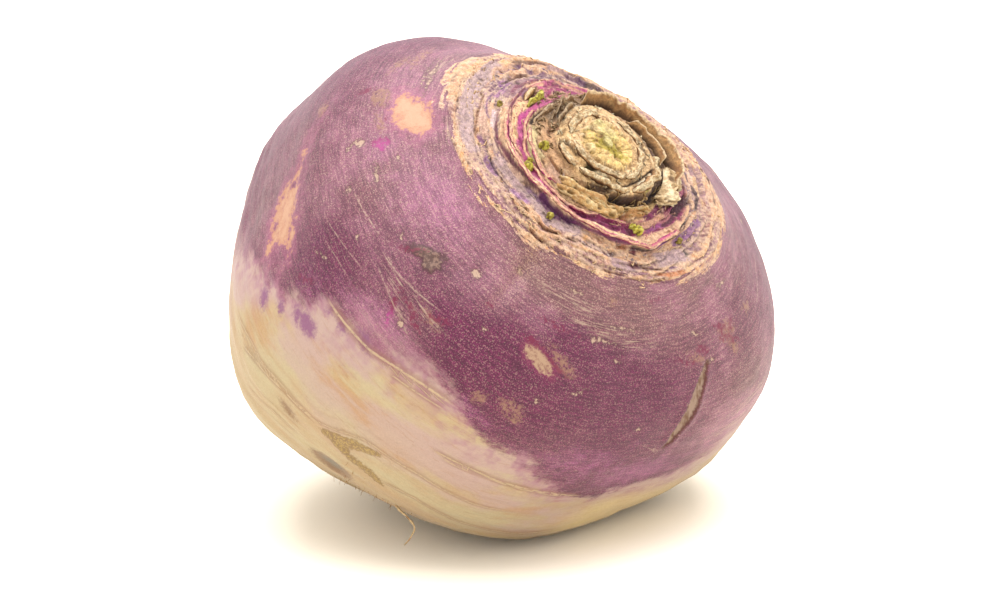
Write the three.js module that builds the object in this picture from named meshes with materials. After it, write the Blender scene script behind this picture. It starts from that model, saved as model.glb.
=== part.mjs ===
// A rutabaga lying on its side: one swollen root with a ringed crown, the dried
// bases of its trimmed leaf stalks, a few green buds between them, and fine
// rootlets.
//
// Millimetres, +Z up. The origin is the middle of the small flat spot on which
// the root rests. +X runs to the right and +Y to the back of the resting root.
//
// Places on the root are given in its own frame, whose Z axis runs from the
// middle of the body out through the crown. "Polar" is the angle from that axis,
// 0 at the crown and 180 at the tail. "Heading" is the angle about the axis,
// 0 on the side where the tilted crown faces downhill.

import * as THREE from 'three';

// ---- driving dimensions --------------------------------------------------

const BODY_CENTRE = new THREE.Vector3(-3.5, 2, 47.2);
const CROWN_TILT = 45;      // degrees from straight up
const CROWN_HEADING = -45;  // degrees about +Z, from +X

// distance from the body's middle to its skin, every 20 degrees from the crown
// to the tail
const PROFILE = [55, 56, 56, 59, 57, 57, 52, 50.5, 49, 46];

// the body isn't round: each lobe is a wave around the axis, and its skew is
// the same wave turned over between the crown side and the tail side
const LOBES = [
  { waves: 1, height: 2, heading: -15, skew: 3, skewHeading: -145 },
  { waves: 2, height: 4, heading: 65, skew: 2, skewHeading: 10 },
  { waves: 3, height: 2, heading: -50, skew: 2.5, skewHeading: -50 },
  { waves: 4, height: 1, heading: 25, skew: 2, skewHeading: 30 },
  { waves: 5, height: 1.5, heading: -25, skew: 2, skewHeading: 20 },
];

// crown: distances from its middle, measured over the skin
const CROWN_SPAN = 55;              // a quarter turn of the body, seen from above
const CROWN_OFFSET = [-2.5, 0];     // the rings' middle, off the axis
const CROWN_RELIEF = [              // [distance, height over the smooth body]
  [0, 1.4], [7, 1.6], [8.4, 0.2], [12, -1.4], [16, -1.2], [18, -0.4],
  [20.5, -0.7], [22, -1.5], [25.5, -1.1], [28, 0.5], [31, 0.4], [35, 0],
];

// tail: a broken-off tap root
const TAIL_LENGTH = 8;
const TAIL_POLAR = [153, 171, 175];  // where it starts, steepens and ends

// body mesh
const HEADINGS = 60;
const CROWN_POLAR_STEP = 2.2;
const CROWN_POLAR_END = 37.4;
const BODY_RINGS = 30;

const GAP = 0.35;   // left between two pieces that meet

// dried leaf-stalk bases: low curved walls around the crown. A wall's foot
// stands on the crown at "radius", and its top leans out by "lean".
const LEAF_BASES = [
  { radius: 8.8, thick: 1.7, from: 160, to: 482, rise: 1.9, lean: 0.3, look: 'cutStalk' },
  { radius: 11.4, thick: 1.4, from: 262, to: 432, rise: 2.2, lean: 0.3, look: 'cutStalk' },
  { radius: 14.2, thick: 0.8, from: 44, to: 150, rise: 3.8, lean: 1.6, look: 'drySheath' },
  { radius: 14.4, thick: 1.7, from: 284, to: 366, rise: 2.2, lean: 0.5, look: 'goldenSheath' },
  { radius: 14.4, thick: 0.9, from: 16, to: 38, rise: 3.4, lean: 4.6, look: 'drySheath' },
  { radius: 13.2, thick: 0.9, from: 166, to: 240, rise: 1.8, lean: 0.6, look: 'drySheath' },
  { radius: 16.9, thick: 1.5, from: 222, to: 345, rise: 1.3, lean: 0.2, look: 'fleshyBase' },
  { radius: 17.4, thick: 0.8, from: 80, to: 124, rise: 1.6, lean: 0.5, look: 'drySheath' },
  { radius: 21.7, thick: 1.1, from: 232, to: 384, rise: 1.2, lean: 0.2, look: 'fleshyBase' },
  { radius: 17.6, thick: 1.4, from: 134, to: 150, rise: 1.8, lean: 0.4, look: 'drySheath' },
  { radius: 18.6, thick: 1.4, from: 200, to: 216, rise: 1.6, lean: 0.3, look: 'drySheath' },
];
const WALL_STEP = 8;   // degrees of heading between a wall's sections

// buds: [distance, heading, width, height]
const BUDS = [
  [16.4, 209, 2.4, 3.0],
  [15.0, 259, 2.0, 2.6],
  [20.2, 270, 2.2, 2.6],
  [23.9, 298, 1.5, 1.8],
  [20.2, 352, 2.2, 2.4],
  [22.4, 223, 1.4, 1.6],
  [25.3, 22, 1.6, 1.6],
];

// fine rootlets: where each leaves the skin, and the run of it from there, in
// the part's own axes
const ROOTLET_RADIUS = 0.3;
const ROOTLETS = [
  {
    polar: 106, heading: 312,
    run: [[0.8, -0.8, -0.9], [2.4, -1.4, -2.2], [3.8, -2.0, -4.2], [2.9, -2.2, -6.4], [1.6, -2.4, -8.0]],
  },
  {
    polar: 176, heading: 10,
    run: [[-0.6, 0.4, -1.2], [0.6, 0.9, -2.6], [-0.4, 2.2, -3.8]],
  },
  {
    polar: 176, heading: 190,
    run: [[-1.4, 1.2, -1.6], [-3.4, 1.4, -3.4], [-4.8, 3.2, -4.6], [-7.0, 3.4, -5.4]],
  },
];

// ---- materials -------------------------------------------------------------

function finish(color, roughness) {
  return new THREE.MeshStandardMaterial({ color, roughness, metalness: 0 });
}

const SKIN = finish(0x8f5a6c, 0.55);
const LEAF_LOOKS = {
  cutStalk: finish(0xcdb083, 0.8),
  drySheath: finish(0x8a6a42, 0.75),
  goldenSheath: finish(0xc9a468, 0.8),
  fleshyBase: finish(0xc98a86, 0.5),
};
const BUD_GREEN = finish(0x93a53a, 0.5);
const ROOTLET_TAN = finish(0xc7a672, 0.8);

// ---- shape of the root -------------------------------------------------------

const RAD = Math.PI / 180;

/** A smooth curve through evenly spaced values, level at both ends. */
function smoothThrough(values, position) {
  const last = values.length - 1;
  const at = (i) => values[i < 0 ? -i : i > last ? 2 * last - i : i];
  const i = Math.min(Math.floor(position), last - 1);
  const f = position - i;
  const [a, b, c, d] = [at(i - 1), at(i), at(i + 1), at(i + 2)];
  const slope = (c - a) + (2 * a - 5 * b + 4 * c - d) * f + (3 * b - a - 3 * c + d) * f * f;
  return b + 0.5 * slope * f;
}

/** Height at a distance along a list of [distance, height] points. */
function stepThrough(points, distance) {
  for (let i = 1; i < points.length; i++) {
    const [x0, y0] = points[i - 1];
    const [x1, y1] = points[i];
    if (distance <= x1) return y0 + (y1 - y0) * THREE.MathUtils.smoothstep(distance, x0, x1);
  }
  return 0;
}

/** Distance from the body's middle to the smooth body at a polar angle and heading. */
function bodyRadius(polar, heading) {
  const side = Math.sin(polar * RAD);
  let radius = smoothThrough(PROFILE, (polar / 180) * (PROFILE.length - 1));
  for (const lobe of LOBES) {
    const wave = lobe.height * Math.cos(lobe.waves * (heading - lobe.heading) * RAD);
    const skew = lobe.skew * Math.cos(lobe.waves * (heading - lobe.skewHeading) * RAD);
    if (lobe.waves === 1) {
      radius += side * (Math.cos(polar * RAD) * wave + Math.cos(2 * polar * RAD) * skew);
    } else {
      radius += side ** lobe.waves * (wave + Math.cos(polar * RAD) * skew);
    }
  }
  return radius;
}

/** Distance of a place on the skin from the middle of the crown's rings. */
function crownDistance(polar, heading) {
  const out = CROWN_SPAN * Math.sin(polar * RAD);
  const x = out * Math.cos(heading * RAD) - CROWN_OFFSET[0];
  const y = out * Math.sin(heading * RAD) - CROWN_OFFSET[1];
  return Math.hypot(x, y);
}

/** Distance from the body's middle to the skin, with the crown's rings and the tail. */
function skinRadius(polar, heading) {
  let radius = bodyRadius(polar, heading);
  if (polar < 60) radius += stepThrough(CROWN_RELIEF, crownDistance(polar, heading));
  const [start, steep, end] = TAIL_POLAR;
  const root = 0.25 * THREE.MathUtils.smoothstep(polar, start, steep)
    + 0.75 * THREE.MathUtils.smoothstep(polar, steep, end);
  return radius + TAIL_LENGTH * root;
}

// turns the root's own frame into the part's frame
const ROOT_TURN = new THREE.Matrix4().makeRotationZ(CROWN_HEADING * RAD)
  .multiply(new THREE.Matrix4().makeRotationY(CROWN_TILT * RAD))
  .setPosition(BODY_CENTRE);

/** The point at a distance from the body's middle, in the part's frame. */
function pointAt(polar, heading, radius) {
  const out = radius * Math.sin(polar * RAD);
  const point = new THREE.Vector3(
    out * Math.cos(heading * RAD), out * Math.sin(heading * RAD), radius * Math.cos(polar * RAD));
  return point.applyMatrix4(ROOT_TURN);
}

/** A point over the crown, from its distance and heading about the rings' middle. */
function overCrown(distance, heading, lift) {
  const x = CROWN_OFFSET[0] + distance * Math.cos(heading * RAD);
  const y = CROWN_OFFSET[1] + distance * Math.sin(heading * RAD);
  const polar = Math.asin(Math.hypot(x, y) / CROWN_SPAN) / RAD;
  const turn = Math.atan2(y, x) / RAD;
  return pointAt(polar, turn, skinRadius(polar, turn) + lift);
}

// ---- solids ------------------------------------------------------------------

/**
 * A closed solid through a stack of loops with the same number of points. Each
 * loop runs counter-clockwise, seen from the last loop. The ends are closed by
 * fans to their middle, or to the given tips.
 */
function loft(loops, startTip = middleOf(loops[0]), endTip = middleOf(loops.at(-1))) {
  const count = loops[0].length;
  const points = [...loops.flat(), startTip, endTip];
  const start = points.length - 2;
  const end = points.length - 1;
  const index = [];
  for (let i = 0; i < count; i++) {
    const next = (i + 1) % count;
    for (let row = 0; row < loops.length - 1; row++) {
      const a = row * count;
      const b = a + count;
      index.push(a + i, a + next, b + next, a + i, b + next, b + i);
    }
    const top = (loops.length - 1) * count;
    index.push(start, next, i, end, top + i, top + next);
  }
  const geometry = new THREE.BufferGeometry().setFromPoints(points);
  geometry.setIndex(index);
  geometry.computeVertexNormals();
  return geometry;
}

function middleOf(loop) {
  const sum = loop.reduce((total, point) => total.add(point), new THREE.Vector3());
  return sum.divideScalar(loop.length);
}

/** The whole root, its underside pressed flat where it rests. */
function rootBody() {
  const polars = [];
  for (let polar = CROWN_POLAR_STEP; polar < CROWN_POLAR_END; polar += CROWN_POLAR_STEP) {
    polars.push(polar);
  }
  const tailStart = TAIL_POLAR[0];
  for (let i = 0; i < BODY_RINGS; i++) {
    polars.push(CROWN_POLAR_END + ((tailStart - CROWN_POLAR_END) * i) / BODY_RINGS);
  }
  const [, steep, end] = TAIL_POLAR;
  polars.push(tailStart, (tailStart + steep) / 2, steep, (steep + end) / 2, end);
  const skinPoint = (polar, heading) => {
    const point = pointAt(polar, heading, skinRadius(polar, heading));
    point.z = Math.max(point.z, 0);
    return point;
  };
  const loops = polars.reverse().map((polar) => {
    const loop = [];
    for (let i = 0; i < HEADINGS; i++) loop.push(skinPoint(polar, (360 * i) / HEADINGS));
    return loop;
  });
  return loft(loops, skinPoint(180, 0), skinPoint(0, 0));
}

/** One dried leaf-stalk base, a curved wall that stands on the crown. */
function leafBase({ radius, thick, from, to, rise, lean }) {
  const steps = Math.max(3, Math.round((to - from) / WALL_STEP));
  const loops = [];
  for (let i = 0; i <= steps; i++) {
    const share = i / steps;
    const heading = from + (to - from) * share;
    // the wall's ends are lower and thinner than its middle
    const swell = 0.45 + 0.55 * Math.sin(Math.PI * share) ** 0.5;
    const inner = radius + 0.5 * thick * (1 - swell);
    const outer = radius + thick - 0.5 * thick * (1 - swell);
    const tilt = lean * swell;
    loops.push([
      overCrown(inner, heading, GAP),
      overCrown(inner + tilt, heading, GAP + rise * swell),
      overCrown(outer + tilt, heading, GAP + rise * swell),
      overCrown(outer, heading, GAP),
    ]);
  }
  return loft(loops);
}

/** A small pointed bud that stands on the crown. */
function bud([distance, heading, width, height]) {
  const sides = 8;
  const outline = [[0.55, 0], [0.95, 0.2], [1, 0.42], [0.72, 0.72], [0.34, 0.92]];
  const foot = overCrown(distance, heading, GAP);
  const tip = overCrown(distance, heading, GAP + height);
  const up = tip.clone().sub(foot).normalize();
  const across = new THREE.Vector3().crossVectors(up, new THREE.Vector3(0, 0, 1)).normalize();
  const along = new THREE.Vector3().crossVectors(up, across);
  const loops = outline.map(([wide, high]) => {
    const loop = [];
    for (let i = 0; i < sides; i++) {
      const turn = (2 * Math.PI * i) / sides;
      loop.push(foot.clone()
        .addScaledVector(up, high * height)
        .addScaledVector(across, 0.5 * wide * width * Math.cos(turn))
        .addScaledVector(along, 0.5 * wide * width * Math.sin(turn)));
    }
    return loop;
  });
  return loft(loops, foot, tip);
}

/** A thin rootlet that tapers as it runs out from the skin. */
function rootlet({ polar, heading, run }) {
  const start = pointAt(polar, heading, skinRadius(polar, heading) + GAP);
  const points = run.map((offset) => start.clone().add(new THREE.Vector3(...offset)));
  const route = new THREE.CatmullRomCurve3([start, ...points]);
  const steps = 12;
  const sides = 6;
  const frames = route.computeFrenetFrames(steps, false);
  const loops = [];
  for (let i = 0; i <= steps; i++) {
    const middle = route.getPointAt(i / steps);
    const radius = ROOTLET_RADIUS * (1 - 0.55 * (i / steps));
    const loop = [];
    for (let j = 0; j < sides; j++) {
      const turn = (2 * Math.PI * j) / sides;
      loop.push(middle.clone()
        .addScaledVector(frames.normals[i], radius * Math.cos(turn))
        .addScaledVector(frames.binormals[i], radius * Math.sin(turn)));
    }
    loops.push(loop);
  }
  return loft(loops);
}

// ---- the part ------------------------------------------------------------------

const rutabaga = new THREE.Group();

function addPiece(name, geometry, material) {
  const piece = new THREE.Mesh(geometry, material);
  piece.name = name;
  rutabaga.add(piece);
}

addPiece('root', rootBody(), SKIN);
LEAF_BASES.forEach((base, i) => {
  addPiece(`leaf_base_${i + 1}`, leafBase(base), LEAF_LOOKS[base.look]);
});
BUDS.forEach((spot, i) => addPiece(`bud_${i + 1}`, bud(spot), BUD_GREEN));
ROOTLETS.forEach((route, i) => addPiece(`rootlet_${i + 1}`, rootlet(route), ROOTLET_TAN));

export default rutabaga;
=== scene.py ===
"""The looks of a rutabaga lying on its side, built around its CAD frame."""
import math

import bpy
import numpy as np
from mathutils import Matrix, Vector


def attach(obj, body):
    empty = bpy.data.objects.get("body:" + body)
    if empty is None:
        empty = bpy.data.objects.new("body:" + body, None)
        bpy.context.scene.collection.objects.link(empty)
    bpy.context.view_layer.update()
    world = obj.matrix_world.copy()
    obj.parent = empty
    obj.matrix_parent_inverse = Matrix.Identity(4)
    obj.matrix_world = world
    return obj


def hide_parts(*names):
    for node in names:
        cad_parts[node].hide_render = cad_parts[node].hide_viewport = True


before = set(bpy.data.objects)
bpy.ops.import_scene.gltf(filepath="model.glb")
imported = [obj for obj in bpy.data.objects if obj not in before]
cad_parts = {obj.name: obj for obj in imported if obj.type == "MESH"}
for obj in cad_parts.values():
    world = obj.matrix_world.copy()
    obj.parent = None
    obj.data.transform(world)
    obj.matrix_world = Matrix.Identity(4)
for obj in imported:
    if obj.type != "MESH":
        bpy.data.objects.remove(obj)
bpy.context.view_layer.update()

# ---- shape of the root, in millimetres and degrees, as in the CAD model ----------
#
# Places are given in the root's own frame. "Polar" is the angle from the axis
# through the crown, "heading" the angle about it, 0 on the downhill side.

BODY_CENTRE = np.array([-3.5, 2, 47.2])
CROWN_TILT = 45
CROWN_HEADING = -45
PROFILE = [55, 56, 56, 59, 57, 57, 52, 50.5, 49, 46]   # radius, evenly from crown to tail
LOBES = [  # waves, height, heading, skew, heading of the skew
    (1, 2, -15, 3, -145),
    (2, 4, 65, 2, 10),
    (3, 2, -50, 2.5, -50),
    (4, 1, 25, 2, 30),
    (5, 1.5, -25, 2, 20),
]
CROWN_SPAN = 55           # radius of the ball that the crown's flat map is wrapped on
CROWN_OFFSET = (-2.5, 0)  # middle of the crown's rings on that map
TAIL_LENGTH = 8
TAIL_POLAR = (153, 171, 175)   # where the tap root starts, turns steep and ends
TAIL_SLOPE = 0.25              # share of its length that rises gently
BODY_MEAN = 56                 # the body's usual radius, which turns degrees into mm
MM = 0.001                     # metres


def along_curve(points, position):
    """Places on a smooth curve through points; the first and the last only steer it."""
    position = np.asarray(position)
    i = np.clip(np.floor(position), 0, len(points) - 4).astype(int)
    a, b, c, d = (points[i + step] for step in range(4))
    f = (position - i).reshape(position.shape + (1,) * (points.ndim - 1))
    slope = (c - a) + (2 * a - 5 * b + 4 * c - d) * f + (3 * b - a - 3 * c + d) * f * f
    return b + 0.5 * slope * f


def smoothstep(x, low, high):
    """0 below low, 1 above high, and an even curve between them."""
    t = np.clip((x - low) / (high - low), 0, 1)
    return t * t * (3 - 2 * t)


def bell(x, width):
    """1 at 0, falling evenly to both sides."""
    return np.exp(-(x / width) ** 2)


def fading(share, ends):
    """1 along the middle of a line, and 0 at its ends."""
    return smoothstep(share, 0, ends) * (1 - smoothstep(share, 1 - ends, 1))


def turned(heading, start):
    """Degrees from one heading to another, from -180 to 180."""
    return (heading - start + 180) % 360 - 180


def body_radius(polar, heading):
    """Distance from the body's middle to the smooth body."""
    side, up = np.sin(np.radians(polar)), np.cos(np.radians(polar))
    profile = np.array([PROFILE[1], *PROFILE, PROFILE[-2]], float)   # level at both ends
    radius = along_curve(profile, polar / 180 * (len(PROFILE) - 1))
    for waves, height, at, skew, skew_at in LOBES:
        wave = height * np.cos(waves * np.radians(heading - at))
        skewed = skew * np.cos(waves * np.radians(heading - skew_at))
        if waves == 1:
            radius = radius + side * (up * wave + (2 * up * up - 1) * skewed)
        else:
            radius = radius + side ** waves * (wave + up * skewed)
    return radius


def tail_height(polar):
    """How far the broken-off tap root stands out of the body."""
    start, steep, end = TAIL_POLAR
    slope = TAIL_SLOPE * smoothstep(polar, start, steep)
    return TAIL_LENGTH * (slope + (1 - TAIL_SLOPE) * smoothstep(polar, steep, end))


def crown_place(polar, heading):
    """Where a place lies from the middle of the crown's rings, in mm."""
    out = CROWN_SPAN * np.sin(np.radians(polar))
    x = out * np.cos(np.radians(heading)) - CROWN_OFFSET[0]
    y = out * np.sin(np.radians(heading)) - CROWN_OFFSET[1]
    return x, y


def direction(polar, heading):
    """A unit vector in the root's own frame."""
    polar, heading = np.radians(polar), np.radians(heading)
    out = np.sin(polar)
    return np.stack([out * np.cos(heading), out * np.sin(heading), np.cos(polar)], -1)


def root_turn():
    """The matrix that turns the root's own frame into the part's frame."""
    tilt, turn = math.radians(CROWN_TILT), math.radians(CROWN_HEADING)
    c, s, d, t = math.cos(tilt), math.sin(tilt), math.cos(turn), math.sin(turn)
    return np.array([[d, -t, 0], [t, d, 0], [0, 0, 1]]) @ np.array([[c, 0, s], [0, 1, 0], [-s, 0, c]])


ROOT_TURN = root_turn()


def to_part(own):
    """Points of the root's own frame, in the part's frame, in mm."""
    return BODY_CENTRE + own @ ROOT_TURN.T


# ---- noise -----------------------------------------------------------------------

BITS_32 = 0xFFFFFFFF
HASH_ROUNDS = [(13, 1274126177), (16, 2246822519)]   # big odd factors that scatter the bits


def lattice(x, y, z, seed):
    """A random number from -1 to 1 for each whole-numbered place."""
    h = (x * 374761393 + y * 668265263 + z * 1440662683 + seed * 974634777) & BITS_32
    for shift, factor in HASH_ROUNDS:
        h = ((h ^ (h >> shift)) * factor) & BITS_32
    return ((h >> 8) & 0xFFFF) / 32767.5 - 1


def noise(points, seed=0):
    """Smooth noise from -1 to 1, with bumps about one unit across."""
    cell = np.floor(points).astype(np.int64)
    f = points - cell
    f = f * f * f * (f * (f * 6 - 15) + 10)
    total = np.zeros(points.shape[:-1])
    for corner in range(8):
        step = np.array([corner & 1, corner >> 1 & 1, corner >> 2])
        weight = np.prod(np.where(step, f, 1 - f), axis=-1)
        x, y, z = np.moveaxis(cell + step, -1, 0)
        total += weight * lattice(x, y, z, seed)
    return total


def fractal(points, octaves=4, seed=0, gain=0.5):
    """Noise with finer and finer detail."""
    total, size, weight = 0, 1.0, 0
    for octave in range(octaves):
        total = total + size * noise(points * 2.03 ** octave, seed + 17 * octave)
        weight += size
        size *= gain
    return total / weight


def cells(points, seed=0):
    """Distance to the nearest of one random point a cell, and that cell's number."""
    base = np.floor(points).astype(np.int64)
    nearest = np.full(points.shape[:-1], 9.0)
    number = np.zeros(points.shape[:-1])
    for shift in np.ndindex(3, 3, 3):
        x, y, z = np.moveaxis(base + np.array(shift) - 1, -1, 0)
        spot = np.stack([at + 0.5 + 0.45 * lattice(x, y, z, seed + axis)
                         for axis, at in enumerate((x, y, z), 1)], -1)
        gap = np.linalg.norm(points - spot, axis=-1)
        closer = gap < nearest
        number = np.where(closer, lattice(x, y, z, seed), number)
        nearest = np.where(closer, gap, nearest)
    return nearest, number


# ---- colour ----------------------------------------------------------------------

LIT = 0.44   # how much of the strong light a surface returns where it looks white


def rgb(red, green, blue):
    """A surface's colour, from the 0 to 255 screen values it shows under the studio light."""
    values = np.array([red, green, blue]) / 255
    light = np.where(values <= 0.04045, values / 12.92, ((values + 0.055) / 1.055) ** 2.4)
    return LIT * light


def blend(under, over, share):
    """Colours under, covered by colours over where share is 1."""
    share = np.clip(share, 0, 1)[..., None]
    return under * (1 - share) + over * share


def arc(heading, start, end, soft=8):
    """1 on the headings from start round to end, 0 elsewhere, with soft ends."""
    off = np.abs(turned(heading, (start + end) / 2))
    half = (end - start) / 2
    return 1 - smoothstep(off, half - soft / 2, half + soft / 2)


def tinted(shape, *layers):
    """Colours blended one over the other: the first whole, then (colour, share) pairs."""
    colour = np.broadcast_to(rgb(*layers[0]), (*shape, 3))
    return painted(colour, *layers[1:])


def painted(colour, *layers):
    """Colours covered by layers of (colour, share), one over the other."""
    for over, share in layers:
        colour = blend(colour, rgb(*over) if isinstance(over, tuple) else over, share)
    return colour


# ---- marks on the skin, by heading and polar angle -------------------------------

# how far down the purple skin reaches, by heading
PURPLE_EDGE = [
    (0, 82.5), (6, 83), (13, 82), (18, 79.5), (23, 77), (28, 74), (34, 72.5), (46, 75),
    (62, 80), (95, 76), (130, 82), (165, 76), (200, 92), (222, 100), (237, 98), (244, 92),
    (249, 88), (256, 84), (262, 81), (266, 77.5), (270, 72), (278, 69), (284, 69), (290, 66),
    (296, 64.5), (302, 65), (308, 68), (316, 70.5), (322, 71), (328, 73), (334, 77), (340, 80),
    (347, 83), (352, 84.5), (356, 82.5),
]
# patches: heading, polar, length along the heading, width, turn from it; mm, degrees
BARE_PATCHES = [
    (243, 76.6, 12, 5.6, 36), (237, 72.2, 9, 1.8, 32), (240, 78.6, 8, 3.0, 40),
    (246.5, 78, 7, 5.0, 30), (246, 82, 6, 2.6, 30), (249.5, 76, 5, 1.6, 35),
    (230.5, 43.6, 8.4, 7.2, 0), (227, 45.4, 6.4, 4.4, 0), (234, 41.8, 5.4, 4.6, 20),
    (112, 62, 7, 3.4, 20), (178, 70, 9, 2.6, -15),
]
WORN_PATCHES = [  # cream-tan, with a magenta edge
    (316, 51.1, 8.6, 3.4, 22), (313.6, 50.6, 4.4, 3.2, 10),
]
ISLANDS = [  # purple left behind below the purple skin's edge
    (270, 80.2, 5.6, 3.2, 0), (267, 81.2, 3.2, 2.0, 30), (263, 84.4, 2.6, 1.8, 20),
    (258, 87.8, 4, 2.2, 30), (271.5, 73, 1.6, 2.4, 0), (98, 82, 6, 3, 0),
    (150, 88, 5, 2.6, 10), (276, 73, 3, 1.8, 0), (282, 71, 4, 2.4, 20),
]
DULL_PATCHES = [  # thin tan-brown scurf
    (308, 62.9, 2.4, 2.6, 0), (315.5, 62, 5.0, 3.2, 10), (317.5, 63.2, 2.6, 2.2, 0),
    (321.8, 49.9, 7.6, 2.2, 26), (223.5, 50.8, 5.2, 4.0, -10), (204, 47.5, 8, 1.6, 0),
    (209, 50.4, 5, 1.4, 10), (232, 50.4, 4.4, 1.6, -10), (222, 64.6, 3.4, 2.4, 0),
    (24, 47.2, 5.0, 4.4, 0), (36, 47.3, 2.6, 1.8, 0), (10, 48.6, 4.0, 1.4, 30), (25, 51, 1.6, 2.6, 0),
    (288.6, 57.0, 4.0, 1.4, 10),
    (334.5, 34.8, 2.2, 1.4, 0), (90, 52, 5, 3, 30), (150, 60, 6, 2.4, 0),
]
BRUSHED = [  # rubbed into fine pale threads
    (274, 57.6, 7, 1.6, 4), (281, 57.4, 11, 2.6, -4), (287, 57.4, 7, 1.6, 4),
    (280, 59.8, 8, 1.4, 20), (330, 41, 12, 2, 0), (318, 38, 12, 2.4, 0), (345, 43, 8, 1.4, 0),
    (233, 36, 9, 1.2, 0), (208, 42, 9, 1.6, 0), (30, 66, 12, 2.4, 0), (26, 71, 12, 2.4, 0),
    (34, 74, 10, 2, 0), (120, 48, 14, 2.4, 0), (160, 44, 12, 2, 0), (75, 56, 12, 2, 0),
]
SCABS = [  # olive-grey, rough
    (275.2, 49.8, 8.4, 2.4, -36), (277.9, 49.4, 4.8, 3.2, 0), (278.4, 50.6, 3.6, 2.6, 20),
    (130, 66, 5, 3, 20),
]
STAINS = [  # bright magenta and dark red
    (239, 50.2, 2.4, 4.0, 10), (241, 50, 1.6, 1.2, 0), (220.5, 55, 3.0, 1.4, 60),
    (231.3, 49.2, 1.2, 0.9, 0), (284, 58.4, 5, 0.8, 5),
    (290.3, 56, 4, 1.2, -25), (287, 60, 3, 0.8, 10), (12.6, 47.6, 3.6, 2.0, 30),
    (22.4, 45.4, 3.4, 1.2, 30), (26.5, 46.6, 2.8, 1.0, -50), (23.6, 48.2, 3.0, 1.2, 10),
    (21.6, 47.2, 1.4, 2.2, 0), (25.6, 49.6, 2.0, 1.0, 20),
    (316.5, 43.6, 7, 0.8, 0), (355.5, 34, 2.6, 0.6, 0), (297, 47.5, 1.6, 0.8, 0),
    (262, 75.5, 4, 1.2, -40),
    (312, 48.6, 3.0, 1.3, 10), (319, 50.3, 7, 0.7, 24), (272.6, 51.4, 5, 1.2, -42),
    (281, 61.6, 6, 1.2, 60), (6, 48.8, 4, 0.8, 20),
]
# each nick gets a painted shadow round its rim
CHIPS = [  # small pale nicks
    (288.5, 44.6, 2.2, 1.4, 20), (330, 43.4, 1.9, 0.9, 10), (285, 62.2, 1.6, 1.2, 70),
    (260.5, 69.2, 3.2, 0.6, -25), (249, 52.4, 1.8, 0.8, 0), (249.5, 58.6, 1.6, 0.9, 30),
    (237.5, 54.4, 1.8, 1.6, 0), (237.5, 56.4, 3.0, 0.8, 60), (10.7, 43.5, 1.5, 0.8, 20),
    (339.5, 40.0, 4.4, 0.5, 3), (334, 43.2, 4, 0.5, 3), (319, 35.5, 2.4, 0.5, 0),
    (246, 51.8, 2, 0.5, -10), (15, 50.5, 1.4, 0.6, 0), (31, 38.5, 2.2, 0.5, 10),
    (213, 42.2, 9, 0.7, -4), (211, 43.6, 6, 0.5, -4), (329.5, 54.5, 2.6, 0.5, -30),
    (298, 38, 1.4, 0.8, 20), (320, 58.5, 1.2, 0.7, 0), (352, 62, 1.2, 0.7, 0), (300, 52, 1.2, 0.6, 0),
    (262, 60, 1.2, 0.5, 0), (245, 47, 1.2, 0.6, 0), (268, 52, 1.0, 0.5, 30), (340, 47, 1.4, 0.6, 0),
    (70, 48, 2, 0.7, 0), (140, 50, 2.4, 0.6, 20), (185, 66, 2, 0.7, -30), (110, 74, 3, 0.6, 10),
]
# scratches and creases: width, then (heading, polar) points
SCRATCHES = [
    (0.45, [(250.6, 57.6), (257, 56.8), (265.2, 55.7)]),
    (0.4, [(269.4, 57), (276, 56.4), (283, 55.6), (290, 54.6)]),
    (0.4, [(271, 59), (277, 60), (283, 61.4), (288, 62.6)]),
    (0.4, [(252.5, 65.4), (262, 63.4), (270.5, 61.8)]),
    (0.35, [(256, 67.4), (263, 66.2), (269, 65.6)]),
    (0.35, [(355.6, 66.8), (359.5, 68.6), (2.6, 71)]),
    (0.4, [(0.5, 68.5), (2.6, 70.2)]),
    (0.4, [(40, 50), (52, 48.6), (60, 48.8)]),
    (0.4, [(120, 70), (133, 68.5), (141, 69.5)]),
    (0.4, [(170, 55), (186, 53.6)]),
]
# on each raised crease the pale line is a painted highlight and the brown beside it a painted shadow
CREASES = [  # raised pale line with a brown shadow, mostly on the cream skin
    (0.9, [(268, 72.4), (276, 72.2), (284, 71.2), (291, 69.2), (297, 68), (306, 67)]),
    (0.5, [(290, 71.4), (297, 70.2), (304, 69.2)]),
    (0.6, [(306, 79.2), (315, 78.6), (326, 79.6), (337, 80.6), (349, 83)]),
    (0.5, [(309, 80), (320, 79.4), (333, 80.8), (343, 82.4)]),
    (0.5, [(252, 98), (262, 96), (274, 94), (286, 93.6), (296, 88.4), (309, 87.2), (322, 88.2),
           (335, 88)]),
    (0.6, [(262, 99), (268, 96.6), (276, 94.6), (287, 94)]),
    (0.6, [(304, 97), (308, 96), (312, 95.2), (322, 97), (338, 97.2), (352, 96)]),
    (0.4, [(268, 105), (277, 102), (285, 101.6)]),
    (0.5, [(30, 92), (50, 95), (75, 93), (96, 96)]),
    (0.5, [(110, 99), (135, 95), (160, 97), (190, 94), (215, 98)]),
    (0.5, [(60, 108), (90, 111), (120, 107)]),
    (0.5, [(180, 110), (205, 106), (240, 110)]),
    (0.5, [(300, 113), (330, 110), (0, 114)]),
]
# the corky scar on the cream skin: half widths and lines; and bruises, as patches
SCAR = [(1.3, [(287.5, 94.8), (291.5, 93.5), (295, 91.8), (300.5, 89.2)]),
        (1.1, [(290, 94.4), (293, 94.8), (295.6, 95.6)]),
        (0.9, [(293.6, 95.6), (297.5, 96.2), (301, 96.6), (305.5, 98)])]
BRUISES = [(294, 104.6, 9.5, 5.2, 8), (279.7, 97.6, 3.2, 1.2, 10), (70, 118, 7, 5, 20)]
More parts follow.
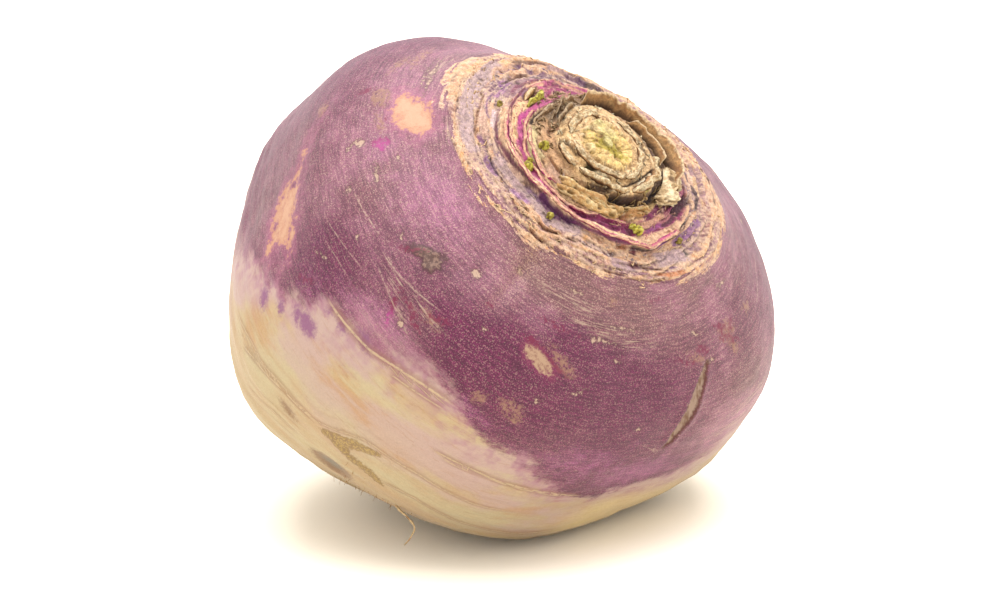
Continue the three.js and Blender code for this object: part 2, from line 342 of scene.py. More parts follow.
# the crack near the downhill side
CRACK = [(13.5, 50.6), (11.2, 53), (9, 56.4), (7.2, 59.8), (5.6, 63.4), (4.4, 66.4), (3.6, 69)]
CRACK_WIDTH = 2.5
FURROWS = [  # broad shallow folds: depth, width, points
    (0.8, 4, [(268, 71), (282, 71), (294, 67.5), (306, 66)]),
    (0.7, 3.5, [(330, 86), (350, 88), (10, 90)]),
    (0.5, 3, [(296, 28), (298, 34), (298, 44)]),
    (0.8, 5, [(150, 100), (180, 104), (215, 101)]),
    (0.7, 5, [(40, 104), (75, 101), (110, 104)]),
]

# soft spots: heading, polar, their spreads in degrees, then how much of each thing is there
SWELLS = [(273, 112, 15, 9, 1.5)]      # height over the smooth body
# painted light bounced from the floor onto the cream's lower side, by its strength
PAINTED_BOUNCE_SIDES = [(8, 95, 24, 10, 1.0)]    # paleness
SOFT_EDGES = [  # how softly purple and cream run into each other
    (28, 73, 14, 14, 1.0), (284, 67, 14, 9, 1.0), (105, 78, 25, 12, 1.0),
    (233, 97, 16, 9, 1.0), (262, 84, 16, 9, 0.4), (326, 75, 18, 10, 0.3),
]
# some spots, deeper round headings 318 to 350 and paler round heading 245, are partly painted shade and
# painted light
TONES = [  # deepness and pinkness of the purple skin
    (262, 66, 9, 5, 0.8, 0.0), (265, 76, 6, 4, 0.7, 0.3), (304, 56, 9, 7, 1.0, 0.0),
    (322, 44, 7, 4, 0.6, 0.1), (292, 57, 8, 5, 0.7, 0.0), (347, 68, 9, 5, 0.8, 0.1),
    (5, 77, 10, 5, 0.2, 0.5), (262, 70, 10, 6, 0.6, 0.1),
    (330, 50, 20, 8, 0.9, 0.0), (318, 58, 14, 7, 0.8, 0.0), (350, 56, 14, 8, 0.7, 0.1),
    (345, 38, 22, 5, -0.1, -0.4), (336, 71, 14, 6, 0.0, 0.5), (355, 77, 12, 5, 0.0, 0.45),
    (31, 46, 10, 8, 0.2, -0.1), (24, 58, 10, 7, -0.3, -0.2), (24, 68, 12, 8, -1.2, 0.4),
    (34, 62, 10, 9, -0.8, 0.1), (288, 59, 5, 3, -0.8, -0.3), (236, 86, 10, 8, -0.6, -0.3),
    (229, 71, 10, 8, -0.4, -0.2), (310, 36, 26, 5, -0.2, -0.5), (261, 44, 12, 6, 0.1, 0.5),
    (270, 40, 12, 4, 0.1, 0.5), (216, 47, 10, 6, -0.5, 0.3), (245, 54, 18, 10, -1.0, 0.1),
    (247, 65, 6, 5, -0.6, 0.0), (240, 50, 5, 4, 0.0, 0.5), (29, 74, 8, 8, -0.6, 0.5),
    (307, 67, 8, 3, 0.2, 0.5), (284, 64, 9, 4, -0.5, 0.6), (277, 68, 8, 4, -0.8, 0.6),
    (100, 55, 40, 16, 0.3, 0.0), (170, 60, 30, 14, 0.4, 0.2), (60, 62, 20, 14, 0.2, 0.2),
]
WASHES = [  # rustiness and lilac of the cream skin
    (262, 93, 5, 7, 1.0, -0.5), (287, 82, 9, 3, 0.8, -0.3), (333, 89, 7, 2.5, 1.0, -0.4),
    (306, 82, 12, 4, -0.3, 0.8), (274, 80, 6, 5, -0.2, 0.8), (290, 91, 12, 4, -0.6, 0.4),
    (318, 95, 16, 5, -0.6, -0.6), (268, 104, 10, 6, -0.5, -0.5), (300, 87, 8, 2, 0.3, 0.5),
    (40, 84, 12, 5, 0.4, -0.3), (120, 92, 30, 10, 0.5, 0.0), (200, 104, 30, 10, 0.4, 0.3),
]


FAR, FARTHER = 9.0, 99.0   # mm, past the reach of any patch, and of any line


def apart(heading, polar, at_heading, at_polar):
    """How far places lie from one place, along the heading and down the root, in mm."""
    scale = np.radians(1) * BODY_MEAN
    along = turned(heading, at_heading) * scale * np.sin(np.radians(polar))
    return along, (polar - at_polar) * scale


def inside_patches(heading, polar, patches):
    """How far places lie inside the nearest patch, in mm, negative outside."""
    depth = np.full(heading.shape, -FAR)
    for at_heading, at_polar, length, width, turn in patches:
        along, down = apart(heading, polar, at_heading, at_polar)
        c, s = math.cos(math.radians(turn)), math.sin(math.radians(turn))
        x, y = (along * c + down * s) / (length / 2), (down * c - along * s) / (width / 2)
        depth = np.maximum(depth, (1 - np.hypot(x, y)) * min(length, width) / 2)
    return depth


def line_distance(heading, polar, points):
    """Distance in mm to a line through (heading, polar) points, its side, and how
    far along it the nearest point lies, from 0 to 1."""
    best = np.full(heading.shape, FARTHER)
    side, share = np.zeros((2, *heading.shape))
    count = len(points) - 1
    for i, ((h0, p0), (h1, p1)) in enumerate(zip(points, points[1:])):
        x, y = apart(heading, polar, h0, p0)
        ex, ey = apart(np.array(h1), np.array(p1), h0, p0)
        t = np.clip((x * ex + y * ey) / (ex * ex + ey * ey), 0, 1)
        gap = np.hypot(x - t * ex, y - t * ey)
        closer = gap < best
        best = np.where(closer, gap, best)
        side = np.where(closer, np.sign(ex * y - ey * x), side)
        share = np.where(closer, (i + t) / count, share)
    return best, side, share


def by_heading(points, heading):
    """A closed line through (heading, value) points."""
    knots, values = np.array(points, float).T
    knots = np.concatenate([knots - 360, knots, knots + 360])
    return np.interp(heading % 360, knots, np.tile(values, 3))


def near_spots(polar, heading, spots):
    """The sum over spots (heading, polar, spreads, *heights) of each height's own bump."""
    totals = np.zeros((len(spots[0]) - 4, *polar.shape))
    for at_heading, at_polar, spread, span, *heights in spots:
        away = turned(heading, at_heading) / spread
        here = np.exp(-away ** 2 - ((polar - at_polar) / span) ** 2)
        for i, height in enumerate(heights):
            totals[i] += height * here
    return totals


# ---- crown -----------------------------------------------------------------------

# rings of the crown, as closed lines of (heading, distance from their middle in mm)
RINGS = {
    "pith": [(0, 7.2), (20, 6.6), (60, 5.8), (105, 4.9), (155, 4.7), (220, 5.0), (258, 6.8),
             (288, 7.6), (315, 7.8), (345, 7.8)],
    "rim": [(0, 9.5), (30, 8.8), (60, 8.3), (100, 8.0), (140, 7.7), (180, 8.0), (215, 9.0),
            (240, 10.1), (270, 10.4), (300, 10.3), (330, 10.0)],
    "stump": [(0, 13.2), (20, 13.6), (50, 12.4), (90, 11.4), (130, 10.6), (170, 10.0), (205, 10.0),
              (235, 11.2), (262, 12.2), (285, 13.0), (305, 13.8), (322, 13.5), (340, 13.0)],
    "pit": [(0, 15.2), (15, 15.8), (35, 16.4), (50, 17.4), (90, 16.5), (140, 15.5), (180, 13.0),
            (210, 13.0), (235, 14.4), (260, 15.8), (290, 15.8), (308, 14.3), (330, 15.3), (345, 15.4)],
    "magenta": [(0, 18.0), (15, 17.2), (30, 17.4), (50, 19.6), (90, 18.5), (140, 16.5), (180, 13.4),
                (210, 14.8), (230, 16.9), (250, 18.0), (270, 18.7), (295, 19.3), (312, 18.9),
                (330, 18.3), (345, 18.6)],
    "terrace": [(0, 24.2), (9, 23.4), (20, 23.8), (35, 23.6), (50, 23.4), (80, 22.4), (120, 21.0),
                (160, 19.6), (195, 19.4), (215, 20.0), (240, 21.2), (255, 22.0), (275, 22.0),
                (295, 21.3), (312, 21.6), (330, 21.9), (345, 22.7)],
    "cork_in": [(0, 28.2), (10, 29.3), (20, 29.2), (32, 27.6), (45, 27.0), (90, 27.0), (130, 26.5),
                (170, 25.8), (190, 26.6), (205, 28.8), (225, 29.8), (242, 29.6), (255, 28.3),
                (268, 27.0), (282, 26.2), (294, 25.8), (299, 26.7), (306, 25.8), (314, 24.9),
                (325, 25.4), (335, 27.4), (347, 28.2)],
    "cork_out": [(0, 30.5), (10, 31.3), (25, 31.6), (40, 33.0), (60, 34.0), (90, 32.4), (130, 30.6),
                 (170, 30.2), (200, 31.6), (217, 32.0), (235, 31.6), (250, 30.7), (265, 30.1),
                 (290, 30.0), (300, 31.8), (307, 30.4), (318, 29.6), (335, 29.4), (350, 29.8)],
}
RAGGEDNESS = {"pith": 0.5, "rim": 0.4, "stump": 0.6, "pit": 0.5, "magenta": 0.5, "terrace": 0.25,
              "cork_in": 1.0, "cork_out": 1.2}
KINK_HEADING = 299   # the cork ring is nicked here

# streaks, lips and gaps: colour, width, height over the crown, then (heading, distance)
STROKES = [
    # dry flesh and mouldy shreds round the stump
    ((220, 170, 124), 2.6, 0.0, [(226, 12.4), (240, 12.8), (252, 13.6), (266, 14.4), (282, 14.6)]),
    ((162, 104, 62), 0.7, -0.2, [(232, 10.6), (241, 11.2), (247, 11.0)]),
    ((150, 92, 52), 0.6, -0.2, [(236, 12.3), (243, 12.9), (250, 13.2)]),
    ((158, 98, 58), 0.9, -0.3, [(266, 15.0), (276, 15.1), (286, 15.0), (296, 14.7)]),
    ((218, 194, 142), 2.4, 0.1, [(238, 15.7), (250, 16.6), (260, 17.1), (270, 17.4)]),
    ((214, 168, 140), 2.6, 0.0, [(274, 16.6), (284, 16.9), (293, 17.2)]),
    ((196, 122, 62), 1.4, -0.2, [(293, 16.9), (296, 17.1), (299, 16.4)]),
    ((100, 78, 54), 1.0, -0.3, [(207, 11.5), (214, 11.0), (221, 10.2), (229, 10.3)]),
    ((92, 46, 28), 0.4, -0.3, [(208, 11.9), (214, 11.8), (220, 11.9)]),
    ((168, 136, 104), 1.3, 0.1, [(205, 12.6), (214, 12.5), (224, 12.4), (231, 12.2)]),
    ((84, 60, 46), 0.8, -0.35, [(209, 13.4), (217, 13.7), (224, 14.6), (231, 15.5), (239, 16.5)]),
    ((196, 170, 142), 0.4, 0.3, [(208, 12.9), (216, 13.2), (224, 13.9), (230, 14.7), (237, 15.2)]),
    ((240, 212, 190), 0.45, 0.4, [(284.5, 13.2), (286, 14.6), (289, 15.5), (290, 17.0)]),
    ((110, 66, 48), 0.5, -0.3, [(291.5, 18.7), (293, 18.0), (292, 16.8)]),
    # cut stalks
    ((226, 208, 170), 1.4, 0.3, [(302, 11.4), (312, 10.9), (322, 10.9), (334, 12.2), (344, 12.6)]),
    ((232, 218, 186), 1.5, 0.4, [(4, 11.8), (16, 11.7), (28, 11.8), (38, 12.1), (47, 13.0)]),
    ((198, 182, 70), 0.9, 0.0, [(12, 13.3), (17, 12.9), (23, 12.8)]),
    ((150, 134, 100), 0.9, -0.1, [(338, 12.0), (346, 11.8), (354, 11.7)]),
    ((86, 54, 28), 0.4, -0.5, [(322, 12.3), (332, 11.5), (342, 11.2), (354, 10.7), (8, 10.4),
                               (22, 10.5), (36, 11.0), (48, 12.0)]),
    ((92, 58, 28), 0.4, -0.5, [(354, 9.5), (6, 9.0), (20, 8.6), (34, 8.1)]),
    ((120, 84, 50), 0.3, -0.4, [(258, 10.6), (270, 10.5), (284, 10.4)]),
    ((84, 74, 24), 1.0, -0.6, [(293.5, 10.4), (298, 10.3), (303, 10.3), (309, 10.0)]),
    # the pit round them, painted dark as shade, and the golden crumple outside it
    ((122, 82, 52), 1.3, -0.9, [(306, 14.0), (313, 13.3), (321, 12.7), (331, 12.2)]),
    ((74, 42, 24), 1.9, -1.4, [(328, 14.6), (334, 14.3), (341, 14.3), (350, 14.5), (2, 14.7)]),
    ((120, 74, 48), 1.2, -0.5, [(344, 13.7), (354, 13.7), (6, 13.6)]),
    ((84, 42, 34), 1.1, -1.0, [(8.5, 15.7), (13, 15.1), (20, 14.8), (28, 15.0), (37, 15.6), (52, 16.7)]),
    ((196, 156, 96), 1.2, 0.2, [(8, 16.2), (14, 16.2), (20, 16.0), (26, 15.6)]),
    ((204, 142, 72), 1.8, 0.1, [(344, 16.6), (354, 16.4), (4, 16.8)]),
    ((164, 92, 40), 1.5, -0.2, [(336, 18.2), (342, 17.8), (347, 17.3)]),
    ((236, 196, 156), 0.5, 0.4, [(345, 15.4), (353, 15.2), (1, 15.4), (6, 16.0), (7, 17.0)]),
    # magenta flesh
    ((212, 92, 150), 1.6, 0.1, [(198, 14.1), (206, 14.8), (222, 16.3), (236, 17.9),
                                 (250, 18.8), (264, 19.4)]),
    ((160, 56, 92), 0.5, -0.3, [(178, 13.6), (190, 13.9), (198, 14.2), (206, 14.7)]),
    ((210, 76, 148), 1.5, 0.1, [(226, 17.6), (233, 18.2), (240, 18.3)]),
    ((206, 88, 138), 1.6, 0.0, [(252, 19.0), (268, 19.4), (280, 19.8), (292, 20.0)]),
    ((224, 120, 160), 1.1, 0.0, [(274, 20.2), (282, 20.1), (287, 20.3)]),
    ((164, 44, 106), 1.9, -0.2, [(304, 20.4), (313, 19.9), (320, 19.4), (328, 19.2), (337, 19.5),
                                (345, 20.1), (350, 20.5)]),
    ((122, 34, 82), 0.5, -0.3, [(302, 20.7), (308, 20.4), (316, 20.0)]),
    ((120, 22, 62), 1.2, -0.2, [(344, 20.1), (347, 20.4), (350, 20.5)]),
    ((240, 196, 170), 0.35, 0.4, [(292, 19.9), (300, 19.7), (308, 19.4), (315, 18.9), (321, 18.5)]),
    ((96, 54, 32), 0.3, -0.4, [(292, 19.1), (298, 19.5), (304, 19.3), (311, 19.0)]),
    ((158, 54, 106), 1.3, -0.2, [(0, 18.2), (9, 17.9), (17, 17.3), (26, 16.5)]),
    ((214, 160, 128), 1.3, 0.2, [(352, 19.2), (2, 19.1), (12, 18.9), (22, 18.9)]),
    ((176, 82, 148), 0.9, -0.2, [(359, 20.6), (5, 20.4), (11, 20.3), (17, 21.0)]),
    ((132, 60, 88), 0.6, -0.3, [(14, 20.8), (22, 21.1), (29, 21.0)]),
    ((150, 84, 40), 0.9, -0.2, [(25, 18.7), (29, 18.4), (33, 18.9)]),
    # painted shadow that the flap casts on the terrace
    ((100, 28, 54), 2.0, -0.9, [(29, 20.7), (35, 20.9), (41, 21.5), (47, 22.3), (53, 23.4)]),
    # peach terrace and its lip
    ((248, 200, 150), 1.7, 0.1, [(216, 17.9), (223, 18.6), (231, 19.3), (240, 19.9), (251, 20.1)]),
    ((136, 68, 32), 1.6, -0.2, [(197, 18.5), (205, 17.9), (214, 18.1)]),
    ((158, 102, 128), 1.2, 0.0, [(200, 19.5), (207, 19.4), (215, 19.3)]),
    ((152, 66, 92), 0.5, -0.35, [(201, 19.6), (212, 19.6), (220, 20.1), (227, 20.4), (235, 20.4),
                                 (243, 20.9), (250, 20.8), (262, 20.2)]),
    ((216, 100, 152), 1.0, 0.0, [(240, 20.8), (248, 21.0), (255, 20.5)]),
    ((240, 192, 150), 0.6, 0.3, [(224, 21.2), (234, 21.6), (243, 22.2), (252, 22.0)]),
    ((250, 208, 164), 1.5, 0.35, [(250, 21.7), (262, 21.6), (275, 21.4), (285, 21.1), (294, 20.9),
                                 (301, 21.2), (312, 21.2), (326, 21.3), (338, 21.8), (350, 22.6)]),
    ((240, 192, 154), 1.7, 0.2, [(348, 22.1), (358, 22.4), (8, 22.1), (18, 22.3), (30, 22.6)]),
    ((184, 108, 48), 0.8, -0.2, [(15, 22.5), (17.5, 22.6)]),
    ((176, 98, 44), 0.8, -0.2, [(19.5, 22.7), (22, 22.8)]),
    # gap outside the lip: violet flesh, darkened by painted shade in the gap
    ((120, 50, 76), 0.45, -0.3, [(256, 22.3), (266, 22.2), (277, 21.8), (288, 21.5)]),
    ((138, 42, 110), 0.7, -0.35, [(286, 21.6), (294, 21.9), (302, 22.1), (312, 21.9), (326, 21.9),
                               (338, 22.3), (347, 22.6)]),
    ((126, 52, 118), 1.8, -0.45, [(286, 21.9), (294, 22.4), (300, 22.9), (306, 22.5), (311, 22.1)]),
    ((150, 76, 98), 0.45, -0.3, [(229, 22.6), (238, 22.9), (247, 23.1), (254, 22.6), (266, 22.3)]),
    ((132, 70, 94), 0.3, -0.3, [(246, 23.6), (255, 23.2), (264, 22.9)]),
    ((80, 44, 50), 0.35, -0.4, [(346, 23.2), (354, 24.0), (0, 24.4), (5, 23.9), (10, 23.4),
                                (20, 23.9), (28, 23.4), (37, 23.8)]),
    ((156, 88, 158), 1.0, -0.1, [(3.5, 24.1), (7, 23.7), (12, 23.5)]),
    # lavender scars
    ((196, 162, 164), 2.3, 0.2, [(258, 24.3), (270, 24.2), (280, 23.8), (289, 23.5), (297, 24.9),
                                 (303, 24.5), (309, 23.5), (316, 22.9)]),
    ((166, 124, 150), 0.9, -0.1, [(278, 22.7), (286, 22.5), (291, 23.0)]),
    ((184, 132, 176), 1.0, -0.1, [(275, 25.6), (281, 25.1), (288, 24.9)]),
    ((168, 110, 160), 1.3, -0.2, [(255.5, 26.1), (262, 26.4), (268, 26.3)]),
    ((96, 48, 72), 0.35, -0.3, [(256, 25.4), (262, 25.9), (270, 25.9), (277, 25.5)]),
    ((150, 84, 138), 1.3, -0.2, [(243, 26.1), (246, 25.9), (249, 25.6)]),
    ((150, 88, 44), 0.7, -0.2, [(240, 26.3), (243.5, 26.9), (246, 26.8)]),
    ((200, 168, 168), 2.4, 0.1, [(192, 27.6), (204, 27.5), (213, 27.9), (224, 28.1), (236, 28.3),
                                 (248, 28.2), (254, 27.5)]),
    ((228, 182, 160), 1.8, 0.1, [(220, 25.2), (230, 25.0), (239, 25.0), (247, 24.7)]),
    ((230, 200, 200), 0.9, 0.2, [(227, 23.2), (234, 23.2), (241, 23.7)]),
    ((176, 130, 140), 2.6, 0.0, [(176, 20.6), (190, 21.6), (199, 21.3), (207, 21.2), (214, 21.8)]),
    ((150, 86, 150), 1.8, -0.2, [(199.5, 24.0), (205, 24.1), (208.5, 23.9)]),
    ((188, 130, 168), 1.4, 0.0, [(207, 23.0), (213, 23.4), (218, 23.9)]),
    ((100, 52, 60), 0.5, -0.3, [(195.5, 24.0), (201, 24.0), (208, 24.9)]),
    ((84, 54, 52), 0.7, -0.3, [(194, 22.3), (199, 22.3)]),
    ((148, 96, 144), 0.45, -0.1, [(215, 24.5), (222, 24.9), (229, 24.5), (235, 23.9)]),
    ((150, 92, 64), 0.3, -0.3, [(217, 25.8), (227, 25.9), (236, 26.2), (243, 26.9)]),
    ((96, 56, 40), 0.8, -0.3, [(206, 27.2), (208.5, 27.7)]),
    ((92, 76, 76), 0.8, -0.2, [(200.5, 27.9), (203, 28.3)]),
    ((188, 150, 156), 1.7, 0.1, [(332, 26.6), (339, 27.0), (347, 27.4)]),
    ((196, 162, 166), 2.6, 0.1, [(0, 26.4), (8, 26.7), (15, 27.0), (20, 28.2)]),
    ((150, 90, 148), 1.3, -0.2, [(16, 24.9), (24, 25.1), (33, 25.9), (43, 26.5)]),
    ((102, 92, 88), 1.1, -0.3, [(19.5, 28.0), (22.5, 27.9)]),
    ((164, 116, 128), 1.3, 0.0, [(25, 28.5), (29, 28.4)]),
    ((240, 176, 112), 1.7, 0.2, [(316, 24.3), (320.5, 24.4)]),
    ((182, 104, 62), 0.9, -0.2, [(324, 23.3), (328.5, 23.6)]),
    ((190, 110, 62), 1.0, -0.1, [(336, 23.6), (344, 23.4)]),
    ((112, 52, 60), 0.8, -0.35, [(328, 25.0), (331, 25.8), (334, 25.4), (337, 25.1)]),
    ((242, 228, 220), 0.4, 0.2, [(332, 25.5), (333.5, 25.6)]),
    ((128, 36, 66), 1.1, -0.35, [(345.5, 24.0), (348, 24.1), (351, 24.4)]),
    ((122, 32, 64), 1.2, -0.35, [(343.5, 26.5), (347, 26.7), (350, 27.1)]),
    ((136, 78, 58), 0.35, -0.4, [(350, 27.2), (356, 27.7), (3, 28.2)]),
    ((140, 82, 144), 0.6, -0.2, [(6, 28.4), (9, 28.6), (11.5, 28.9)]),
    # folds of the cork ring where it is nicked, with painted highlights on their crests and painted
    # shade between them
    ((236, 174, 134), 0.5, 0.5, [(293, 25.7), (297, 26.3), (300, 26.5), (303, 26.2), (307, 25.4)]),
    ((146, 72, 48), 0.5, -0.6, [(294.5, 26.7), (299, 27.2), (303, 26.8), (306.5, 26.0)]),
    ((236, 182, 142), 0.5, 0.4, [(294, 27.6), (299, 28.1), (303, 27.6), (307, 27.0)]),
    ((142, 74, 56), 0.4, -0.4, [(295, 28.9), (300, 29.4), (304, 28.6)]),
    ((236, 188, 130), 1.0, 0.2, [(300, 30.6), (301.5, 31.6), (302, 32.2)]),
    # dark cracks along the cork
    ((120, 74, 36), 0.5, -0.5, [(282, 26.3), (286, 26.6), (290, 26.5)]),
    ((120, 66, 44), 0.4, -0.4, [(309, 26.3), (312, 26.0), (315, 25.9)]),
    ((122, 60, 40), 0.4, -0.4, [(329, 28.8), (334, 29.0), (339, 29.2)]),
    ((144, 84, 62), 0.3, -0.3, [(340, 29.5), (348, 29.6), (356, 29.9), (4, 30.7)]),
    ((212, 128, 74), 0.8, 0.1, [(357, 28.7), (3, 29.4), (9, 29.9), (14, 30.2)]),
]
# the back of the crown has strokes drawn at random on these headings: for each kind,
# how many, then the spans of their distances, their colours, widths and heights
RANDOM_ARCS = (54, 196)
RANDOM_STROKES = [
    (10, (8.5, 12.5), ((226, 206, 166), (150, 112, 72), (96, 62, 34)), (0.4, 1.2), (-0.4, 0.3)),
    (9, (12.5, 16.0), ((70, 42, 26), (132, 88, 52), (56, 34, 24)), (0.6, 1.6), (-1.0, -0.2)),
    (16, (17.5, 19.5), ((196, 86, 132), (214, 150, 118), (120, 40, 84)), (0.4, 1.3), (-0.3, 0.3)),
    (12, (19.5, 21.5), ((238, 190, 144), (160, 80, 110), (226, 160, 132)), (0.4, 1.1), (-0.2, 0.4)),
    (34, (21.5, 27.0), ((180, 138, 142), (120, 66, 112), (226, 176, 146), (84, 42, 58), (130, 76, 58)),
     (0.3, 1.5), (-0.6, 0.2)),
    (12, (26.0, 31.0), ((240, 194, 146), (130, 76, 52), (190, 150, 152)), (0.4, 1.2), (-0.4, 0.3)),
]
# places darker than the middle turn darker still by this power, and paler ones paler
CROWN_MIDDLE = rgb(206, 154, 124).mean()
CROWN_CONTRAST = 0.35
CRACKLE_PEACH = (234, 198, 166)
GRAIN_ROUND = 6.5                        # mm that the noises reckon for one radian round the rings
LAYER_SPACING, LAYER_WARP = 1.2, 2.4     # mm between thin layers, and how far they wander
PITH_HEIGHT = 1.5                        # mm over the smooth body
# how the relief changes at the rings: ring, rise, where it starts and ends past it, mm
RING_STEPS = [
    ("pith", -0.35, -0.3, 0.3), ("rim", -0.9, -0.2, 0.4), ("stump", -1.3, -0.5, 0.8),
    ("magenta", -0.3, -0.4, 0.4), ("terrace", 0.4, -2.0, -0.6), ("terrace", -0.9, -0.1, 0.7),
    ("cork_in", 2.3, -3.0, 2.0), ("cork_out", -0.45, -0.6, 3.0),
]


def random_strokes():
    """Strokes for the back of the crown, of the same kinds as those in front."""
    draw = np.random.default_rng(5)
    strokes = []
    for count, distances, colours, widths, heights in RANDOM_STROKES:
        for _ in range(count):
            heading = draw.uniform(*RANDOM_ARCS)
            span = draw.uniform(8, 34)
            distance = draw.uniform(*distances)
            bend = draw.normal(size=4) * 0.35
            points = [(heading + span * (i / 3 - 0.5), distance + bend[i]) for i in range(4)]
            colour = colours[draw.integers(len(colours))]
            strokes.append((colour, draw.uniform(*widths), draw.uniform(*heights), points))
    return strokes


class Crown:
    """The crown's relief and colours at places given from the rings' middle."""

    def __init__(self, x, y):
        """Measures each place, and the noises that the relief and the colours share."""
        self.distance = np.hypot(x, y)
        self.heading = np.degrees(np.arctan2(y, x)) % 360
        turn = np.radians(self.heading)
        round_x, round_y = GRAIN_ROUND * np.cos(turn), GRAIN_ROUND * np.sin(turn)
        self.grain = np.stack([round_x, round_y, self.distance], -1)
        self.flat = np.stack([x, y, 0 * x], -1)
        self.wobble = fractal(self.grain * 0.55, 4, seed=3)
        self.ragged = self.stretched(0.8, 1.2, 4, seed=7)
        self.coarse = fractal(self.flat * 0.3, 3, seed=5)
        self.streaks = self.stretched(0.5, 1.6, 4, seed=8)
        self.grit = fractal(self.flat * 1.7, 3, seed=9)
        self.crackle, _ = cells(self.flat / 0.8 + 0.5 * self.wobble[..., None], seed=11)
        self.chunk, self.tint = cells(self.flat / 2.6 + 0.4 * self.wobble[..., None], seed=4)
        self.lumps, _ = cells(self.flat / 1.1, seed=6)
        self.layer, self.tone = self.strata()
        self.strokes = [(colour, height, self.stroke(width, points))
                        for colour, width, height, points in STROKES + random_strokes()]

    def stretched(self, along, across, octaves, seed, gain=0.5):
        """Noise with so many bumps per mm along the rings, and across them."""
        return fractal(self.grain * np.array([along, along, across]), octaves, seed, gain)

    def past(self, name, low, high):
        """0 inside a ring, 1 outside it, rising from low to high mm past it."""
        return smoothstep(self.outside(name), low, high)

    def outside(self, name):
        """How far places lie outside a ring, in mm."""
        curve = by_heading(RINGS[name], self.heading)
        return self.distance - curve + RAGGEDNESS[name] * self.wobble

    def stroke(self, width, points):
        """1 on a stroke, 0 off it, with frayed edges and pointed ends."""
        headings, distances = np.array(points, float).T
        knots = np.unwrap(headings, period=360)
        middle = (knots[0] + knots[-1]) / 2
        heading = middle + turned(self.heading, middle)
        line = np.interp(heading, knots, distances)
        reach = np.minimum(heading - knots[0], knots[-1] - heading) * np.radians(self.distance)
        taper = smoothstep(reach + 0.5 * self.ragged, -0.35, 0.9)
        across = np.abs(self.distance - line + 0.35 * self.ragged)
        half = width / 2 * (0.75 + 0.45 * self.wobble + 0.25 * taper)
        return taper * (1 - smoothstep(across, half - 0.12, half + 0.16))

    def strata(self):
        """Thin ragged layers: the share across each, and each one's own drifting tone."""
        shift = self.stretched(0.32, 0.3, 4, seed=21)
        level = (self.distance + LAYER_WARP * shift) / LAYER_SPACING
        number = np.floor(level)
        run = self.grain * np.array([0.3, 0.3, 0.0])
        run[..., 2] = 3.7 * number
        return level - number, fractal(run, 3, seed=22, gain=0.6)

    def layered(self):
        """1 between the stump and the skin, where the crown grows in thin layers."""
        return self.past("stump", 0, 1.5) * (1 - self.past("cork_out", -0.6, 0.6))

    def relief(self):
        """Height over the smooth body, in mm."""
        height = PITH_HEIGHT
        for name, rise, low, high in RING_STEPS:
            height = height + rise * self.past(name, low, high)
        height -= 0.35 * bell(self.outside("pith") - 0.3, 0.3)
        layered = self.layered()
        height += 0.4 * layered * self.tone
        height += 0.35 * layered * (self.layer ** 2 - 0.4 - 0.6 * smoothstep(self.layer, 0.88, 1))
        height += 0.5 * layered * self.stretched(0.6, 1.3, 4, seed=43, gain=0.65)
        for _, rise, share in self.strokes:
            height += rise * share
        pith = 1 - self.past("pith", -0.6, 0.2)
        grains = 0.5 * self.tint + 0.35 * (0.5 - self.lumps)
        height += pith * (grains - 0.5 * smoothstep(self.chunk, 0.5, 0.8))
        return height + (1 - self.past("cork_out", -0.5, 1.5)) * (0.2 * self.streaks + 0.14 * self.grit)

    def pith_colour(self):
        """Granular: yellow-green on one side, orange-brown on the other, cream outside."""
        mottle = self.coarse + 0.7 * self.grit
        inner = 1 - self.past("pith", -4.5, -0.8)
        green = arc(self.heading, 240, 400, 60) * inner
        orange = arc(self.heading, 90, 260, 60) * inner
        return tinted(self.distance.shape, (244, 204, 128),
                      ((204, 182, 66), smoothstep(mottle + green, 0.4, 0.9) * 0.9),
                      ((198, 146, 84), smoothstep(orange - mottle, 0.5, 1.1) * 0.8),
                      ((214, 194, 66), smoothstep(self.tint + inner, 0.9, 1.6) * 0.7),
                      ((240, 224, 182), smoothstep(self.tint, 0.2, 0.8) * 0.5),
                      ((160, 120, 62), smoothstep(self.lumps, 0.5, 0.72) * 0.3),
                      ((150, 106, 58), smoothstep(self.chunk, 0.62, 0.85) * 0.5))

    def stump_colour(self):
        """Cut stalks: cream and granular, with brown pits."""
        return tinted(self.distance.shape, (242, 198, 142),
                      ((186, 140, 92), smoothstep(self.grit + 0.5 * self.streaks, -0.05, 0.5)),
                      ((236, 220, 186), smoothstep(-self.grit, 0.2, 0.55) * 0.6))

    def flesh_colour(self):
        """The fleshy terrace, brown inside, then magenta, then peach."""
        streaks, shape = self.streaks, self.distance.shape
        peachy = arc(self.heading, 165, 265, 40) * smoothstep(self.ragged - streaks, -0.3, 0.3)
        magenta = tinted(shape, (184, 62, 118),
                         ((126, 38, 90), smoothstep(self.wobble + streaks, 0.0, 0.6)),
                         ((214, 148, 138), smoothstep(-streaks, 0.1, 0.4) * 0.7),
                         ((238, 184, 144), peachy * 0.8))
        peach = tinted(shape, (234, 184, 142),
                       ((206, 120, 128), smoothstep(streaks + 0.5 * self.ragged, 0.1, 0.5) * 0.8))
        outer = self.outside("terrace") + 0.8 * streaks + 0.9 * arc(self.heading, 190, 260, 40)
        return tinted(shape, (214, 166, 120), ((146, 98, 62), smoothstep(streaks, -0.1, 0.55)),
                      ((228, 192, 146), smoothstep(-streaks + 0.4 * self.grit, 0.2, 0.6) * 0.7),
                      (magenta, self.past("magenta", -0.4, 0.3)),
                      (peach, smoothstep(outer, -1.5, -0.6)))

    def scar_colour(self):
        """Lavender leaf scars with a peach crackle."""
        tone = fractal(self.grain * 0.7, 3, seed=18)
        return tinted(self.distance.shape, (190, 152, 154),
                      ((142, 90, 120), smoothstep(tone, 0.12, 0.36) * 0.6),
                      ((236, 190, 160), smoothstep(-tone + 0.5 * self.streaks, 0.0, 0.35) * 0.7),
                      ((150, 92, 78), smoothstep(self.ragged - 0.4 * self.streaks, 0.25, 0.5) * 0.6))

